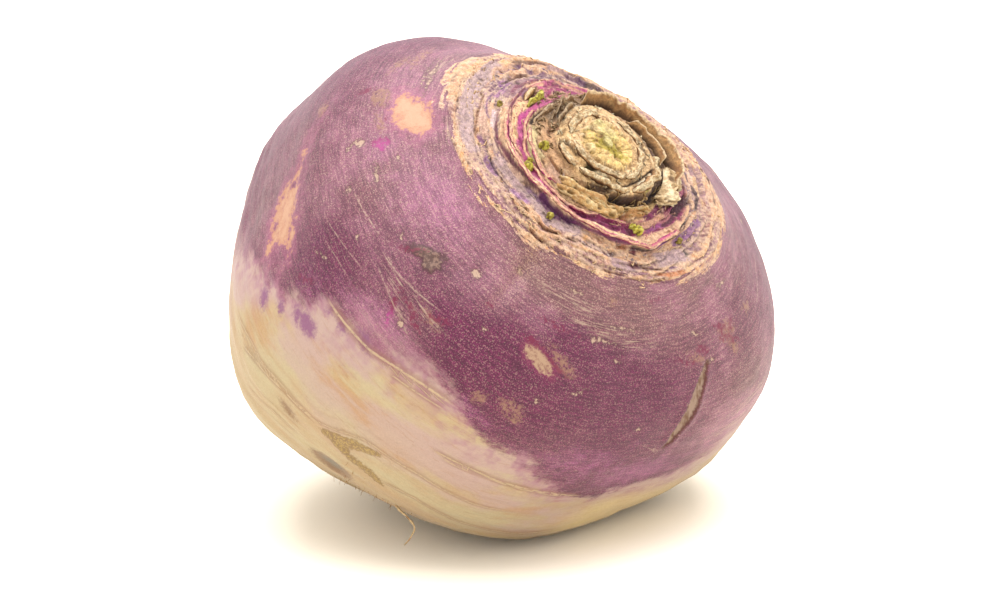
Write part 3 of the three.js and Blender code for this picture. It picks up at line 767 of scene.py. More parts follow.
    def cork_colour(self):
        """Tan cork, mottled and flaky, with brown flecks of painted shade under its flakes."""
        tint = self.stretched(0.3, 0.75, 4, seed=27, gain=0.6)
        speck = fractal(self.flat * 1.1, 3, seed=41, gain=0.7)
        return tinted(self.distance.shape, (196, 146, 146),
                      ((232, 178, 128), smoothstep(tint + 0.2 * speck, -0.1, 0.1)),
                      ((228, 158, 104), smoothstep(tint - 0.3 * speck, 0.1, 0.35) * 0.8),
                      ((250, 214, 174), smoothstep(speck, 0.12, 0.35) * 0.5),
                      ((158, 100, 76), smoothstep(-speck + 0.4 * self.streaks, 0.24, 0.42) * 0.6))

    def colour(self):
        """The crown's colour, and how much of it covers the skin."""
        past, layered = self.past, self.layered()
        mould = arc(self.heading, 168, 232, 30) * smoothstep(self.distance, 8.5, 10.5)
        pit = past("stump", -0.6, 0.4) * (1 - past("pit", -0.6, 0.4)) * arc(self.heading, 318, 450, 40)
        outside = layered * past("terrace", -0.5, 1.0)
        crackled = past("terrace", 0.3, 1.2) * smoothstep(self.crackle, 0.4, 0.6)
        colour = painted(
            self.pith_colour(),
            (self.stump_colour(), past("pith", -0.8, 0.4) * 0.9),
            (self.flesh_colour(), past("stump", -0.4, 0.5)),
            ((138, 108, 76), mould * (1 - past("pit", -0.8, 0.4)) * 0.75),
            # painted shade in the pit in front of the stump
            ((104, 64, 38), pit * 0.8),
            (self.scar_colour(), past("terrace", -0.1, 0.5)),
            (self.cork_colour(), past("cork_in", -0.9, 0.7)),
            ((144, 86, 114), outside * smoothstep(-self.tone, 0.08, 0.3) * 0.65),
            ((236, 176, 122), outside * smoothstep(self.tone, 0.08, 0.3) * 0.75),
            # painted shade in the crease at the foot of each thin layer, and a painted highlight along
            # its lip
            ((96, 50, 52), (1 - smoothstep(self.layer + 0.3 * self.ragged, 0.0, 0.16)) * layered * 0.8),
            ((252, 216, 176), smoothstep(self.layer + 0.4 * self.grit, 0.82, 1.0) * layered * 0.5),
            (CRACKLE_PEACH, crackled * 0.55))
        for stroke, _, share in self.strokes:
            colour = blend(colour, rgb(*stroke) * (1 + 0.3 * self.grit[..., None]), share * 0.92)
        colour = painted(colour, (CRACKLE_PEACH, crackled * 0.2))
        tone = colour.mean(axis=-1, keepdims=True) / CROWN_MIDDLE
        fray = self.outside("cork_out") + 3.2 * self.stretched(0.6, 1.5, 5, seed=40, gain=0.65)
        return colour * tone ** CROWN_CONTRAST, 1 - smoothstep(fray, -1.0, 0.8)


# ---- meshes ----------------------------------------------------------------------

def volume(points, faces):
    """Volume inside a closed mesh, negative if it is inside out."""
    quads = np.array([(*face, face[-1])[:4] for face in faces])
    a, b, c, d = (np.asarray(points)[quads[:, i]] for i in range(4))
    return (a * (np.cross(b, c) + np.cross(c, d))).sum() / 6


def set_values(mesh, name, kind, field, data, domain="POINT"):
    """Gives each point or edge of a mesh its own value."""
    mesh.attributes.new(name, kind, domain).data.foreach_set(field, data.ravel())


def add_object(name, data):
    """A new object in the scene."""
    thing = bpy.data.objects.new(name, data)
    bpy.context.scene.collection.objects.link(thing)
    return thing


def add_piece(name, slot, nodes, material, shape, values=None):
    """A smooth-shaded piece that rides on the root, in place of CAD nodes. Its shape
    is points in mm, faces and colours, and values has whatever else its points have."""
    points, faces, colours = shape
    mesh = bpy.data.meshes.new(name)
    mesh.from_pydata((points * MM).tolist(), [], faces)
    mesh.shade_smooth()
    if volume(points, faces) < 0:
        mesh.flip_normals()
    paint = np.pad(np.asarray(colours, np.float32), [(0, 0), (0, 1)], constant_values=1)
    set_values(mesh, "paint", "FLOAT_COLOR", "color", paint)
    for key, data in (values or {"place": points}).items():
        kind, field = ("FLOAT", "value") if data.ndim == 1 else ("FLOAT_VECTOR", "vector")
        set_values(mesh, key, kind, field, data.astype(np.float32))
    mesh.materials.append(material)
    piece = add_object(name, mesh)
    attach(piece, "root")
    if nodes:
        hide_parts(*nodes)
    return piece


def grid_faces(rows, columns):
    """Quads of a grid of points, row after row, closed across its columns."""
    row, column = np.meshgrid(np.arange(rows - 1), np.arange(columns), indexing="ij")
    after = (column + 1) % columns
    corners = [row * columns + column, row * columns + after,
               (row + 1) * columns + after, (row + 1) * columns + column]
    return np.stack([c.ravel() for c in corners], -1).tolist()


def capped_grid(rows, columns):
    """Faces of a tube of points, row after row, and of its ends, round two last points."""
    first_tip, last = rows * columns, (rows - 1) * columns
    faces = grid_faces(rows, columns)
    for i in range(columns):
        after = (i + 1) % columns
        faces += [(after, i, first_tip), (last + i, last + after, first_tip + 1)]
    return faces


def closed_loops(loops, colours):
    """Points, faces and colours of a tube through loops of points, closed at both ends."""
    points, paint = (np.vstack([data.reshape(-1, 3), data[0].mean(axis=0), data[-1].mean(axis=0)])
                     for data in (loops, colours))
    return points, capped_grid(*loops.shape[:2]), paint


def join(parts):
    """Several (points, faces, colours) as one."""
    total, faces = 0, []
    for points, part_faces, _ in parts:
        faces += [tuple(index + total for index in face) for face in part_faces]
        total += len(points)
    return np.vstack([part[0] for part in parts]), faces, np.vstack([part[2] for part in parts])


# ---- material nodes --------------------------------------------------------------

class Shader:
    """A material whose nodes are made, and joined up, one call at a time."""

    def __init__(self, name, **principled):
        """A new material, and the constants of its surface."""
        self.material = bpy.data.materials.new(name)
        self.material.use_nodes = True
        self.tree = self.material.node_tree
        self.tree.nodes.clear()
        constants = {socket.replace("_", " "): value for socket, value in principled.items()}
        self.surface = self.node("BsdfPrincipled", constants)
        self.node("OutputMaterial", {"Surface": self.surface.outputs[0]})

    def node(self, kind, inputs, **settings):
        """A new node with its settings, and its sockets linked or set."""
        node = self.tree.nodes.new("ShaderNode" + kind)
        for name, value in settings.items():
            setattr(node, name, value)
        for socket, value in inputs.items():
            self.put(node.inputs[socket], value)
        return node

    def put(self, socket, value):
        """Links a node's output to a socket, or sets the socket to a constant."""
        if isinstance(value, bpy.types.NodeSocket):
            self.tree.links.new(value, socket)
        elif isinstance(value, np.ndarray) and socket.type == "RGBA":
            socket.default_value = (*value, 1)
        else:
            socket.default_value = value

    def attribute(self, name, output="Fac"):
        """One of the mesh's own values."""
        return self.node("Attribute", {}, attribute_name=name).outputs[output]

    def scaled(self, vector, scale):
        """A vector times three numbers."""
        return self.node("VectorMath", {0: vector, 1: scale}, operation="MULTIPLY").outputs[0]

    def noise(self, vector, scale=1.0, detail=3.0, roughness=0.55):
        """Noise from 0 to 1, with about scale bumps for each unit of the vector."""
        return self.node("TexNoise", {"Vector": vector, "Scale": scale, "Detail": detail,
                                      "Roughness": roughness}).outputs["Fac"]

    def height_of(self, place):
        """How far places lie over the floor, in mm."""
        return self.node("SeparateXYZ", {0: place}).outputs["Z"]

    def math(self, operation, a, b=0.0, c=0.0):
        """Any of Blender's math operations."""
        return self.node("Math", {0: a, 1: b, 2: c}, operation=operation).outputs[0]

    def add(self, a, b):
        """a + b."""
        return self.math("ADD", a, b)

    def minus(self, a, b):
        """a - b."""
        return self.math("SUBTRACT", a, b)

    def times(self, a, b):
        """a * b."""
        return self.math("MULTIPLY", a, b)

    def plus(self, total, *terms):
        """A total and, for each of the terms (value, weight), value times weight."""
        for value, weight in terms:
            total = self.math("MULTIPLY_ADD", value, weight, total)
        return total

    def step(self, value, low, high, top=1.0):
        """0 up to low, and top from high on, with an even curve between them."""
        return self.node("MapRange", {"Value": value, "From Min": low, "From Max": high,
                                      "To Min": 0.0, "To Max": top},
                         interpolation_type="SMOOTHSTEP").outputs[0]

    def mix(self, under, over, share):
        """A colour covered by another where share is 1."""
        return self.node("Mix", {"Factor": share, 6: under, 7: over}, data_type="RGBA").outputs[2]

    def layers(self, colour, *covers):
        """A colour covered by (colour, share) pairs, one over the other."""
        for over, share in covers:
            colour = self.mix(colour, rgb(*over) if isinstance(over, tuple) else over, share)
        return colour

    def shade(self, colour, share, low, high):
        """Multiplies a colour by a brightness from low to high."""
        brightness = self.node("MapRange", {"Value": share, "To Min": low, "To Max": high})
        return self.node("VectorMath", {0: colour, "Scale": brightness.outputs[0]},
                         operation="SCALE").outputs[0]

    def finish(self, colour, roughness, height):
        """Colour, roughness, and a height in mm that shows as bumps."""
        bump = self.node("Bump", {"Distance": MM, "Strength": 1.0, "Height": height})
        for socket, value in (("Base Color", colour), ("Roughness", roughness),
                              ("Normal", bump.outputs[0])):
            self.put(self.surface.inputs[socket], value)
        return self.material


# ---- the root --------------------------------------------------------------------

HEADINGS = 560                        # points round the root
SEAM = 36                             # where the crown's piece ends
CROWN_RINGS = 170                     # rings of points over the crown
SIDE_RINGS, SIDE_END = 104, 104       # and over the sides, to this angle
TAIL_RINGS, TAIL_END = 64, 179.2
INNER_ROWS = {                        # rows inside the root that close each piece: polar, depth
    "crown": [(35.5, 3), (30, 8), (12, 8)],
    "body": [(12, 5), (30, 5), (35, 2)],
}
MM_PER_DEGREE = 0.98                  # down the root
CROWN_END = 44                        # polar angle that nothing of the crown reaches
CROWN_FADE = (30, 36)                 # mm from the rings' middle, where the skin takes over
CALMED = 0.75                         # how much less relief the skin has under the crown
FULL_LINE = 0.6                       # width in mm from which a crease or scratch is whole
CRACK_DEPTH, BRUISE_DEPTH, KINK_DEPTH = 0.9, 0.7, 0.9           # mm
CRACK_LIPS, CREASE_HEIGHT, SCAR_HEIGHT = 0.35, 0.14, 0.2        # mm
LEAST_SOFT, MORE_SOFT = 1.2, 5.5      # mm that the skins' edge is soft, and more at SOFT_EDGES
PATCHES = {                           # each kind's patches, and how high they stand, in mm
    "bare": (BARE_PATCHES, -0.15), "worn": (WORN_PATCHES, -0.25), "dull": (DULL_PATCHES, 0.1),
    "scab": (SCABS, 0.2), "stain": (STAINS, -0.05), "chip": (CHIPS, -0.15),
    "brushed": (BRUSHED, 0.0), "island": (ISLANDS, 0.0),
}


def root_places(polars):
    """Polar angles and headings of a grid of points."""
    headings = np.arange(HEADINGS) * 360 / HEADINGS
    return np.meshgrid(polars, headings, indexing="ij")


def on_skin(polar, heading, lift=0.0):
    """Points lift mm over the smooth body, in the part's frame."""
    radius = body_radius(polar, heading) + tail_height(polar) + lift
    return to_part(direction(polar, heading) * np.asarray(radius)[..., None])


def offset_lines(heading, polar, lines, reach):
    """Signed distance to the nearest of some lines, in line widths, and how near it is."""
    best = offset = np.full(heading.shape, FARTHER)
    near = np.zeros(heading.shape)
    for width, points in lines:
        gap, side, share = line_distance(heading, polar, points)
        here = fading(share, 0.12) * (1 - smoothstep(gap, 0.6 * reach, reach))
        closer = gap < best
        best = np.where(closer, gap, best)
        offset = np.where(closer, side * gap / width, offset)
        near = np.where(closer, here * min(1.0, width / FULL_LINE), near)
    return offset, near


def ring_places(polar, heading):
    """Places in mm on a plain round root, for noise that runs round it in rows."""
    out = BODY_MEAN * np.sin(np.radians(polar))
    turn = np.radians(heading)
    return np.stack([out * np.cos(turn), out * np.sin(turn), polar * MM_PER_DEGREE], -1)


def swells_and_folds(polar, heading, own, rows):
    """Relief of the skin that no mark makes, in mm."""
    shoulder = bell(polar - 38, 9)
    lower = smoothstep(polar, 78, 96) * (1 - smoothstep(polar, 150, 170))
    wrinkles = fractal(rows * np.array([0.06, 0.06, 0.5]), 4, seed=52)
    relief = 0.55 * fractal(own / 24, 3, seed=50) + 0.18 * fractal(own / 7, 3, seed=51)
    relief += wrinkles * (0.12 + 0.22 * shoulder + 0.3 * lower)
    relief += near_spots(polar, heading, SWELLS)[0]
    for depth, width, points in FURROWS:
        gap, _, share = line_distance(heading, polar, points)
        relief -= depth * fading(share, 0.25) * bell(gap, width)
    return relief


def crack_shape(polar, heading, rows):
    """How far inside the crack places are, in mm, and its relief, with raised lips."""
    gap, _, share = line_distance(heading, polar, CRACK)
    half = CRACK_WIDTH / 2 * np.sin(np.pi * np.clip(share, 0.02, 0.98)) ** 0.7
    half = half * (1 + 0.25 * fractal(rows * 0.5, 2, seed=53))
    lips = bell(gap - half - 0.5, 0.8) * smoothstep(half, 0.1, 0.8)
    return half - gap, CRACK_LIPS * lips - CRACK_DEPTH * smoothstep(half - gap, -0.3, 0.6)


def scar_inside(polar, heading):
    """How far inside the corky scar places are, in mm."""
    inside = np.full(heading.shape, -FAR)
    for width, points in SCAR:
        gap, _, share = line_distance(heading, polar, points)
        inside = np.maximum(inside, width * np.sin(np.pi * share) ** 0.5 - gap)
    return inside


def skin_marks(polar, heading, own, rows):
    """How far inside each mark places are, in mm, and the relief that the marks make."""
    marks = {"rows": rows, "scar": scar_inside(polar, heading)}
    marks["crease"], marks["crease_near"] = offset_lines(heading, polar, CREASES, 3.0)
    marks["scratch"], marks["scratch_near"] = offset_lines(heading, polar, SCRATCHES, 2.5)
    marks["crack"], relief = crack_shape(polar, heading, rows)
    relief += CREASE_HEIGHT * marks["crease_near"] * bell(marks["crease"], 0.7)
    cork = SCAR_HEIGHT * smoothstep(marks["scar"], -0.5, 0.8)
    relief += cork * (1 + fractal(own * 1.2, 2, seed=54))
    marks["bruise"] = inside_patches(heading, polar, BRUISES)
    relief -= BRUISE_DEPTH * smoothstep(marks["bruise"], -0.6, 2.0)
    for name, (patches, height) in PATCHES.items():
        marks[name] = inside_patches(heading, polar, patches)
        relief += height * smoothstep(marks[name], -0.3, 0.5)
    relief += 0.25 * smoothstep(marks["scab"], -0.2, 0.5) * fractal(own * 0.9, 2, seed=55)
    # the crown's kink, which runs on down the side
    kink = turned(heading, KINK_HEADING) * 0.6 + 2 * fractal(rows * 0.2, 2, seed=56)
    fade = smoothstep(polar, 24, 29) * (1 - smoothstep(polar, 40, 52))
    relief -= KINK_DEPTH * fade * bell(kink, 1.6)
    marks["kink"] = fade * bell(kink, 2.6)
    # the tap root's stub, split and fibrous at its end
    marks["stub"] = smoothstep(polar, 168, 174)
    relief += marks["stub"] * 0.8 * fractal(rows * np.array([0.5, 0.5, 0.1]), 3, seed=57)
    return marks, relief


def crown_surface(polar, heading):
    """The crown's relief in mm, its colours, and how far these and the relief hold."""
    x, y = crown_place(polar, heading)
    height, cover = np.zeros((2, *polar.shape))
    colour = np.zeros((*polar.shape, 3))
    rows = (polar < CROWN_END).any(axis=1)
    if rows.any():
        crown = Crown(x[rows], y[rows])
        height[rows] = crown.relief()
        colour[rows], cover[rows] = crown.colour()
    return height, colour, cover, 1 - smoothstep(np.hypot(x, y), *CROWN_FADE)


def skin_values(polar, heading):
    """Radius of the finished skin, its colours in the crown, and its other values."""
    radius = body_radius(polar, heading)
    own = direction(polar, heading) * radius[..., None]
    rows = ring_places(polar, heading)
    values, relief = skin_marks(polar, heading, own, rows)
    relief += swells_and_folds(polar, heading, own, rows)
    height, colour, values["cover"], into = crown_surface(polar, heading)
    radius += relief * (1 - CALMED * into) + height * into + tail_height(polar)
    values["purple"] = by_heading(PURPLE_EDGE, heading) - polar
    values["soft"] = LEAST_SOFT + MORE_SOFT * near_spots(polar, heading, SOFT_EDGES)[0]
    values["deep"], values["pink"] = near_spots(polar, heading, TONES)
    values["rust"], values["lilac"] = near_spots(polar, heading, WASHES)
    values["pale"] = near_spots(polar, heading, PAINTED_BOUNCE_SIDES)[0]
    values["down"] = polar
    return radius, colour, values


def build_skin(name, polars, crown_side, material):
    """A part of the root's skin, closed inside the root."""
    polar, heading = root_places(polars)
    radius, colour, values = skin_values(polar, heading)
    points = to_part(direction(polar, heading) * radius[..., None])
    points[..., 2] = np.maximum(points[..., 2], 0)
    values["place"] = points.copy()
    inner = [on_skin(*root_places([at_polar]), -depth)
             for at_polar, depth in INNER_ROWS["crown" if crown_side else "body"]]
    extra = len(inner)
    loops = np.concatenate([points, *inner] if crown_side else [*inner, points])
    pad = [(0, extra) if crown_side else (extra, 0), (0, 0)]
    full = {}
    for key, data in values.items():
        data = np.pad(data, pad + [(0, 0)] * (data.ndim - 2), mode="edge").reshape(-1, *data.shape[2:])
        full[key] = np.concatenate([data, data[[0, -1]]])
    shape = closed_loops(loops, np.pad(colour, [*pad, (0, 0)]))
    mesh = add_piece(name, "skin", ["root"], material, shape, full).data
    sharpen_row(mesh, len(points) - 1 if crown_side else extra)
    unwrap_skin(mesh, len(loops))


def read_mesh(parts, field):
    """A whole number from each part of a mesh."""
    numbers = np.empty(len(parts), np.int64)
    parts.foreach_get(field, numbers)
    return numbers


def sharpen_row(mesh, row):
    """Keeps a row's edges sharp, so that the rows inside don't bend the shading outside."""
    ends = np.empty(2 * len(mesh.edges), np.int64)
    mesh.edges.foreach_get("vertices", ends)
    on_row = (ends // HEADINGS == row).reshape(-1, 2).all(axis=1)
    set_values(mesh, "sharp_edge", "BOOLEAN", "value", on_row, "EDGE")


def unwrap_skin(mesh, rows):
    """Lays the grid out flat."""
    vertex = read_mesh(mesh.loops, "vertex_index")
    start = read_mesh(mesh.polygons, "loop_start")
    face = np.repeat(np.arange(len(start)), read_mesh(mesh.polygons, "loop_total"))
    column = vertex % HEADINGS
    tip = vertex >= rows * HEADINGS
    # in a face across the seam, the points of column 0 lie at the far end
    high = np.maximum.reduceat(np.where(tip, 0, column), start)[face]
    column = np.where((high == HEADINGS - 1) & (column == 0) & ~tip, HEADINGS, column)
    middle = np.add.reduceat(np.where(tip, 0, column), start)[face] / 2
    u = np.where(tip, middle, column) / HEADINGS
    row = np.where(tip, np.where(vertex == rows * HEADINGS, -1, rows), vertex // HEADINGS)
    v = (row + 1) / (rows + 1)
    layer = mesh.uv_layers.new(name="OFBake")
    layer.data.foreach_set("uv", np.stack([u, v], -1).astype(np.float32).ravel())


def build_root(material):
    """The root, as one piece for the crown and one for the rest."""
    build_skin("root_crown", np.linspace(0, SEAM, CROWN_RINGS + 1)[1:], True, material)
    side = np.linspace(SEAM, SIDE_END, SIDE_RINGS + 1)
    tail = np.linspace(SIDE_END, TAIL_END, TAIL_RINGS + 1)[1:]
    build_skin("root_body", np.concatenate([side, tail]), False, material)


# ---- materials -------------------------------------------------------------------

PURPLE = rgb(128, 58, 88)
DEEP_PURPLE = rgb(114, 18, 74)
PINK_PURPLE = rgb(184, 100, 150)
COOL_DUST = rgb(202, 138, 158)
WARM_DUST = rgb(162, 120, 114)
PALE_DUST = rgb(222, 186, 168)
CREAM = rgb(220, 186, 142)
PALE_CREAM = rgb(224, 204, 160)
OCHRE = rgb(214, 162, 104)
BLUSH = rgb(220, 184, 174)
MAUVE = rgb(186, 122, 150)
# cream lit by painted light bounced from the floor
PAINTED_BOUNCE_CREAM = 1.5 * rgb(222, 196, 138)


class Skin(Shader):
    """The root's material, with what several of its layers share."""

    def __init__(self):
        """Places on the root, rows round it, and grain that breaks up edges."""
        super().__init__("skin", Specular_IOR_Level=0.3, Sheen_Weight=0.08, Sheen_Roughness=0.5)
        self.place = self.attribute("place", "Vector")
        self.rows = self.attribute("rows", "Vector")
        self.grain = self.noise(self.place, 1.3, 4, 0.62)
        self.fine = self.noise(self.place, 4.2, 3, 0.6)
        self.ragged = self.minus(self.grain, 0.5)
        self.broken = self.step(self.grain, 0.36, 0.56)

    def streaks(self, around, down, detail, roughness):
        """Noise with so many bumps per mm round the root, and down it."""
        return self.noise(self.scaled(self.rows, (around, around, down)), 1.0, detail, roughness)

    def mark(self, name, low, high, top=1.0, rough=1.6):
        """A mark's share of the colour, with a ragged edge."""
        return self.step(self.plus(self.attribute(name), (self.ragged, rough)), low, high, top)

    def line(self, name, width, rough):
        """The share of the colour of lines so many line widths across."""
        across = self.math("ABSOLUTE", self.plus(self.attribute(name), (self.ragged, rough)))
        beside = self.step(across, 0.3 * width, width)
        return self.times(self.minus(1.0, beside), self.attribute(name + "_near"))


def purple_skin(s):
    """Colour of the purple skin, with drifting tones, and its streaks and dust."""
    deep, pink, down = (s.attribute(name) for name in ("deep", "pink", "down"))
    drift, blotch = s.noise(s.place, 0.08, 5, 0.6), s.noise(s.place, 0.32, 4, 0.65)
    streak, thread = s.streaks(0.08, 0.55, 6, 0.7), s.streaks(0.25, 2.2, 3, 0.7)
    depth = s.plus(s.times(deep, 0.56), (streak, 0.5), (blotch, 0.7))
    glow = s.plus(pink, (s.minus(blotch, 0.5), 1.2))
    # a film of dust, thickest near the crown and in patches
    film = s.plus(s.minus(1.0, s.step(down, 30, 62)), (drift, 1.3), (blotch, 0.8), (deep, -0.8))
    film = s.step(film, 0.8, 2.2)
    tint = s.mix(WARM_DUST, COOL_DUST, s.step(s.plus(drift, (pink, 0.4)), 0.36, 0.6))
    colour = s.layers(PURPLE, (DEEP_PURPLE, s.step(depth, 0.5, 1.0, 0.95)),
                      (PINK_PURPLE, s.step(glow, 0.1, 1.0, 0.85)), (tint, s.times(film, 0.5)))
    # fine grain, with more contrast where there is less dust
    dust = s.plus(s.times(s.streaks(2.4, 4.8, 2, 0.7), 0.4), (s.noise(s.place, 4.4, 2, 0.7), 0.6))
    spread = s.plus(0.12, (film, 0.14))
    colour = s.shade(colour, s.step(dust, s.minus(0.5, spread), s.add(0.5, spread)), 0.52, 1.42)
    colour = s.shade(colour, s.step(thread, 0.32, 0.68), 0.74, 1.24)
    specks = s.plus(s.noise(s.place, 3.6, 2, 0.5), (thread, 0.3))
    colour = s.layers(
        colour,
        (PALE_DUST, s.times(s.step(dust, 0.55, 0.68, 0.4), s.plus(0.5, (film, 0.5)))),
        ((226, 188, 168), s.times(s.step(specks, 0.72, 0.78, 0.75), s.plus(0.45, (film, 0.4)))))
    return colour, streak, dust


def cream_skin(s):
    """Colour of the cream skin, in soft streaks of lilac, ochre and pale yellow, with
    painted shade low down and near the floor and painted light bounced from the floor
    on one side; and the thinnest of its streaks."""
    wide, thin = s.streaks(0.04, 0.13, 4, 0.6), s.streaks(0.07, 0.7, 5, 0.6)
    blotch, flecks = s.streaks(0.05, 0.14, 4, 0.55), s.streaks(0.12, 0.3, 5, 0.65)
    below = s.attribute("purple")
    near = s.step(below, -34, -8)
    lilac = s.plus(blotch, (s.attribute("lilac"), 0.3), (s.step(below, -24, -3), 0.14))
    rusty = s.plus(flecks, (s.attribute("rust"), 0.3))
    low = s.step(s.attribute("down"), 98, 128, 0.8)
    contour = s.math("ABSOLUTE", s.minus(s.streaks(0.03, 0.5, 5, 0.6), 0.52))
    colour = s.layers(
        CREAM,
        (PALE_CREAM, s.step(wide, 0.38, 0.6, 0.9)),
        (BLUSH, s.times(s.step(lilac, 0.46, 0.66, 0.9), s.add(0.2, s.times(near, 0.8)))),
        (OCHRE, s.times(s.step(rusty, 0.5, 0.8, 0.65), s.step(thin, 0.3, 0.56))),
        ((228, 190, 168), s.times(s.step(thin, 0.56, 0.7, 0.35), near)),
        # painted shade: browner on the lower half, and close to the floor
        ((196, 160, 94), s.times(low, s.step(wide, 0.2, 0.55))),
        ((196, 158, 84), s.minus(0.5, s.step(s.height_of(s.place), 1, 9, 0.5))),
        # painted light bounced from the floor onto the pale side
        (PAINTED_BOUNCE_CREAM, s.step(s.attribute("pale"), 0.15, 0.8, 0.8)),
        ((190, 140, 88), s.minus(0.32, s.times(s.step(contour, 0.0, 0.012), 0.32))))
    return s.shade(colour, s.step(s.noise(s.place, 2.4, 3, 0.7), 0.36, 0.64), 0.95, 1.03), thin


def both_skins(s, purple, cream, thin):
    """Purple skin that frays, through mauve, into cream skin."""
    soft = s.attribute("soft")
    fray = s.minus(s.streaks(0.12, 0.3, 6, 0.65), 0.5)
    edge = s.plus(s.attribute("purple"), (fray, 15.0), (s.ragged, 3.0))
    cloud = s.step(s.noise(s.place, 0.3, 5, 0.6), 0.4, 0.62)
    tinge = s.times(s.times(s.step(edge, -13.0, 1.0, 0.75), cloud), s.step(soft, 0.8, 2.5))
    stripe = s.times(s.step(edge, -5.0, 1.0, 0.6), s.step(thin, 0.42, 0.6))
    cream = s.layers(cream, (MAUVE, tinge), ((178, 92, 130), stripe))
    return s.mix(cream, purple, s.step(edge, s.times(soft, -1.0), soft))


def with_patches(s, colour):
    """The skin with its patches: each kind's rim first, then its middle."""
    torn = s.plus(s.attribute("bare"), (s.minus(s.noise(s.place, 0.5, 5, 0.7), 0.5), 9.0))
    frayed = s.plus(torn, (s.ragged, 2.0))
    threads = s.streaks(0.22, 3.2, 4, 0.65)
    brushed = s.mark("brushed", -1.0, 0.5, 0.85, 3.0)
    worn = s.mix(rgb(176, 130, 106), rgb(210, 172, 138), s.broken)
    scab = s.mix(rgb(104, 72, 62), rgb(164, 128, 110), s.step(s.grain, 0.42, 0.58))
    stain = s.mix(rgb(136, 26, 72), rgb(198, 66, 150), s.step(s.attribute("pink"), 0.3, 0.62))
    return s.layers(
        colour,
        ((154, 84, 136), s.mark("island", -0.9, 0.8, 0.85, 3.2)),
        ((204, 116, 150), s.step(torn, -3.4, 0.2, 0.5)),
        ((226, 164, 124), s.step(frayed, -0.5, 0.5, 0.9)),
        ((238, 184, 148), s.step(frayed, 0.3, 2.4, 0.85)),
        ((146, 44, 88), s.mark("worn", -0.8, 0.0, 0.6, 2.4)),
        (worn, s.mark("worn", 0.0, 0.6, 0.92, 2.6)),
        ((186, 138, 110), s.times(s.mark("dull", -0.6, 0.7, 0.7, 3.5), s.broken)),
        ((204, 172, 150), s.times(brushed, s.step(threads, 0.5, 0.6))),
        ((96, 40, 58), s.times(brushed, s.minus(0.6, s.step(threads, 0.38, 0.46, 0.6)))),
        ((84, 44, 44), s.mark("scab", -0.4, 0.1, 0.8, 1.8)),
        (scab, s.mark("scab", 0.1, 0.5, 0.85, 2.0)),
        (stain, s.times(s.mark("stain", -0.3, 0.4, 0.85, 3.0), s.step(s.grain, 0.36, 0.52))),
        # painted shadow round each chip's rim
        ((96, 52, 56), s.mark("chip", -0.4, 0.0, 0.6, 2.0)),
        ((222, 186, 160), s.times(s.mark("chip", -0.1, 0.25, 0.95, 2.4), s.step(s.fine, 0.3, 0.45))))


def with_lines(s, colour):
    """The skin with pale scratches, and creases with a painted highlight and a painted shadow beside
    them; and the share of each.
    """
    scratch = s.times(s.line("scratch", 0.5, 1.0), s.broken)
    crease = s.times(s.line("crease", 0.42, 0.5), s.step(s.grain, 0.32, 0.48))
    away = s.math("PINGPONG", s.plus(s.attribute("crease"), (s.ragged, 0.6)), 3.0)
    shadow = s.times(s.minus(1.0, s.step(away, 0.5, 1.8)), s.attribute("crease_near"))
    colour = s.layers(colour, ((224, 190, 166), s.times(scratch, 0.8)),
                      ((158, 106, 66), s.times(shadow, 0.42)),
                      # painted highlight along the raised crease
                      ((240, 208, 164), s.times(crease, 0.75)))
    return colour, scratch, crease


def with_wounds(s, colour, dust):
    """The skin with its bruises, its corky scar, the kink, the crack, and the stub."""
    pocked = s.step(s.noise(s.place, 2.2, 3, 0.6), 0.46, 0.56)
    fibres = s.noise(s.scaled(s.place, (1.0, 1.0, 0.25)), 1.6, 4)
    inside = s.mix(rgb(148, 108, 82), rgb(198, 166, 144), s.step(fibres, 0.34, 0.6))
    return s.layers(
        colour,
        ((150, 104, 72), s.mark("bruise", -1.0, 0.4, 0.7, 2.2)),
        ((158, 146, 126), s.mark("bruise", 0.3, 1.8, 0.85)),
        ((150, 112, 54), s.mark("scar", -0.5, 0.1, 0.75, 1.8)),
        ((206, 172, 104), s.times(s.mark("scar", -0.3, 0.4, 0.95, 1.4), pocked)),
        ((206, 164, 134), s.times(s.attribute("kink"), s.step(dust, 0.48, 0.6, 0.7))),
        ((104, 48, 26), s.mark("crack", -0.7, -0.1, 0.85, 1.0)),
        (inside, s.mark("crack", -0.1, 0.25, 1.0, 0.6)),
        ((176, 130, 84), s.times(s.attribute("stub"), s.step(s.grain, 0.3, 0.6))))


def with_crown(s, colour, cover):
    """The crown's own paint over the skin, broken up by fine grain."""
    covered = s.plus(cover, (s.ragged, 0.7), (s.minus(s.fine, 0.5), 1.2))
    paint = s.shade(s.attribute("paint", "Color"), s.step(s.grain, 0.3, 0.7), 0.84, 1.3)
    paint = s.shade(paint, s.step(s.fine, 0.35, 0.65), 0.82, 1.22)
    speck = s.noise(s.place, 2.6, 3, 0.65)
    paint = s.layers(paint, ((255, 232, 196), s.step(speck, 0.6, 0.72, 0.3)),
                     ((120, 72, 52), s.minus(0.35, s.step(speck, 0.32, 0.43, 0.35))))
    return s.mix(colour, paint, s.step(covered, 0.35, 0.65))


def skin_material():
    """The whole root's surface: purple and cream skin, its marks, and the crown."""
    s = Skin()
    purple, streak, dust = purple_skin(s)
    cream, thin = cream_skin(s)
    colour = with_patches(s, both_skins(s, purple, cream, thin))
    colour, scratch, crease = with_lines(s, colour)
    cover = s.attribute("cover")
    colour = with_crown(s, with_wounds(s, colour, dust), cover)
    roughness = s.plus(s.add(0.5, s.times(dust, 0.16)), (cover, 0.18))
    height = s.plus(
        s.times(streak, 0.08), (thin, 0.07), (s.grain, 0.1), (dust, 0.1), (scratch, 0.05),
        (crease, 0.1), (s.mark("chip", -0.2, 0.2), -0.08), (s.times(cover, s.fine), 0.25),
        (s.times(cover, s.noise(s.place, 1.8, 5, 0.65)), 0.2))
    return s.finish(colour, roughness, height)


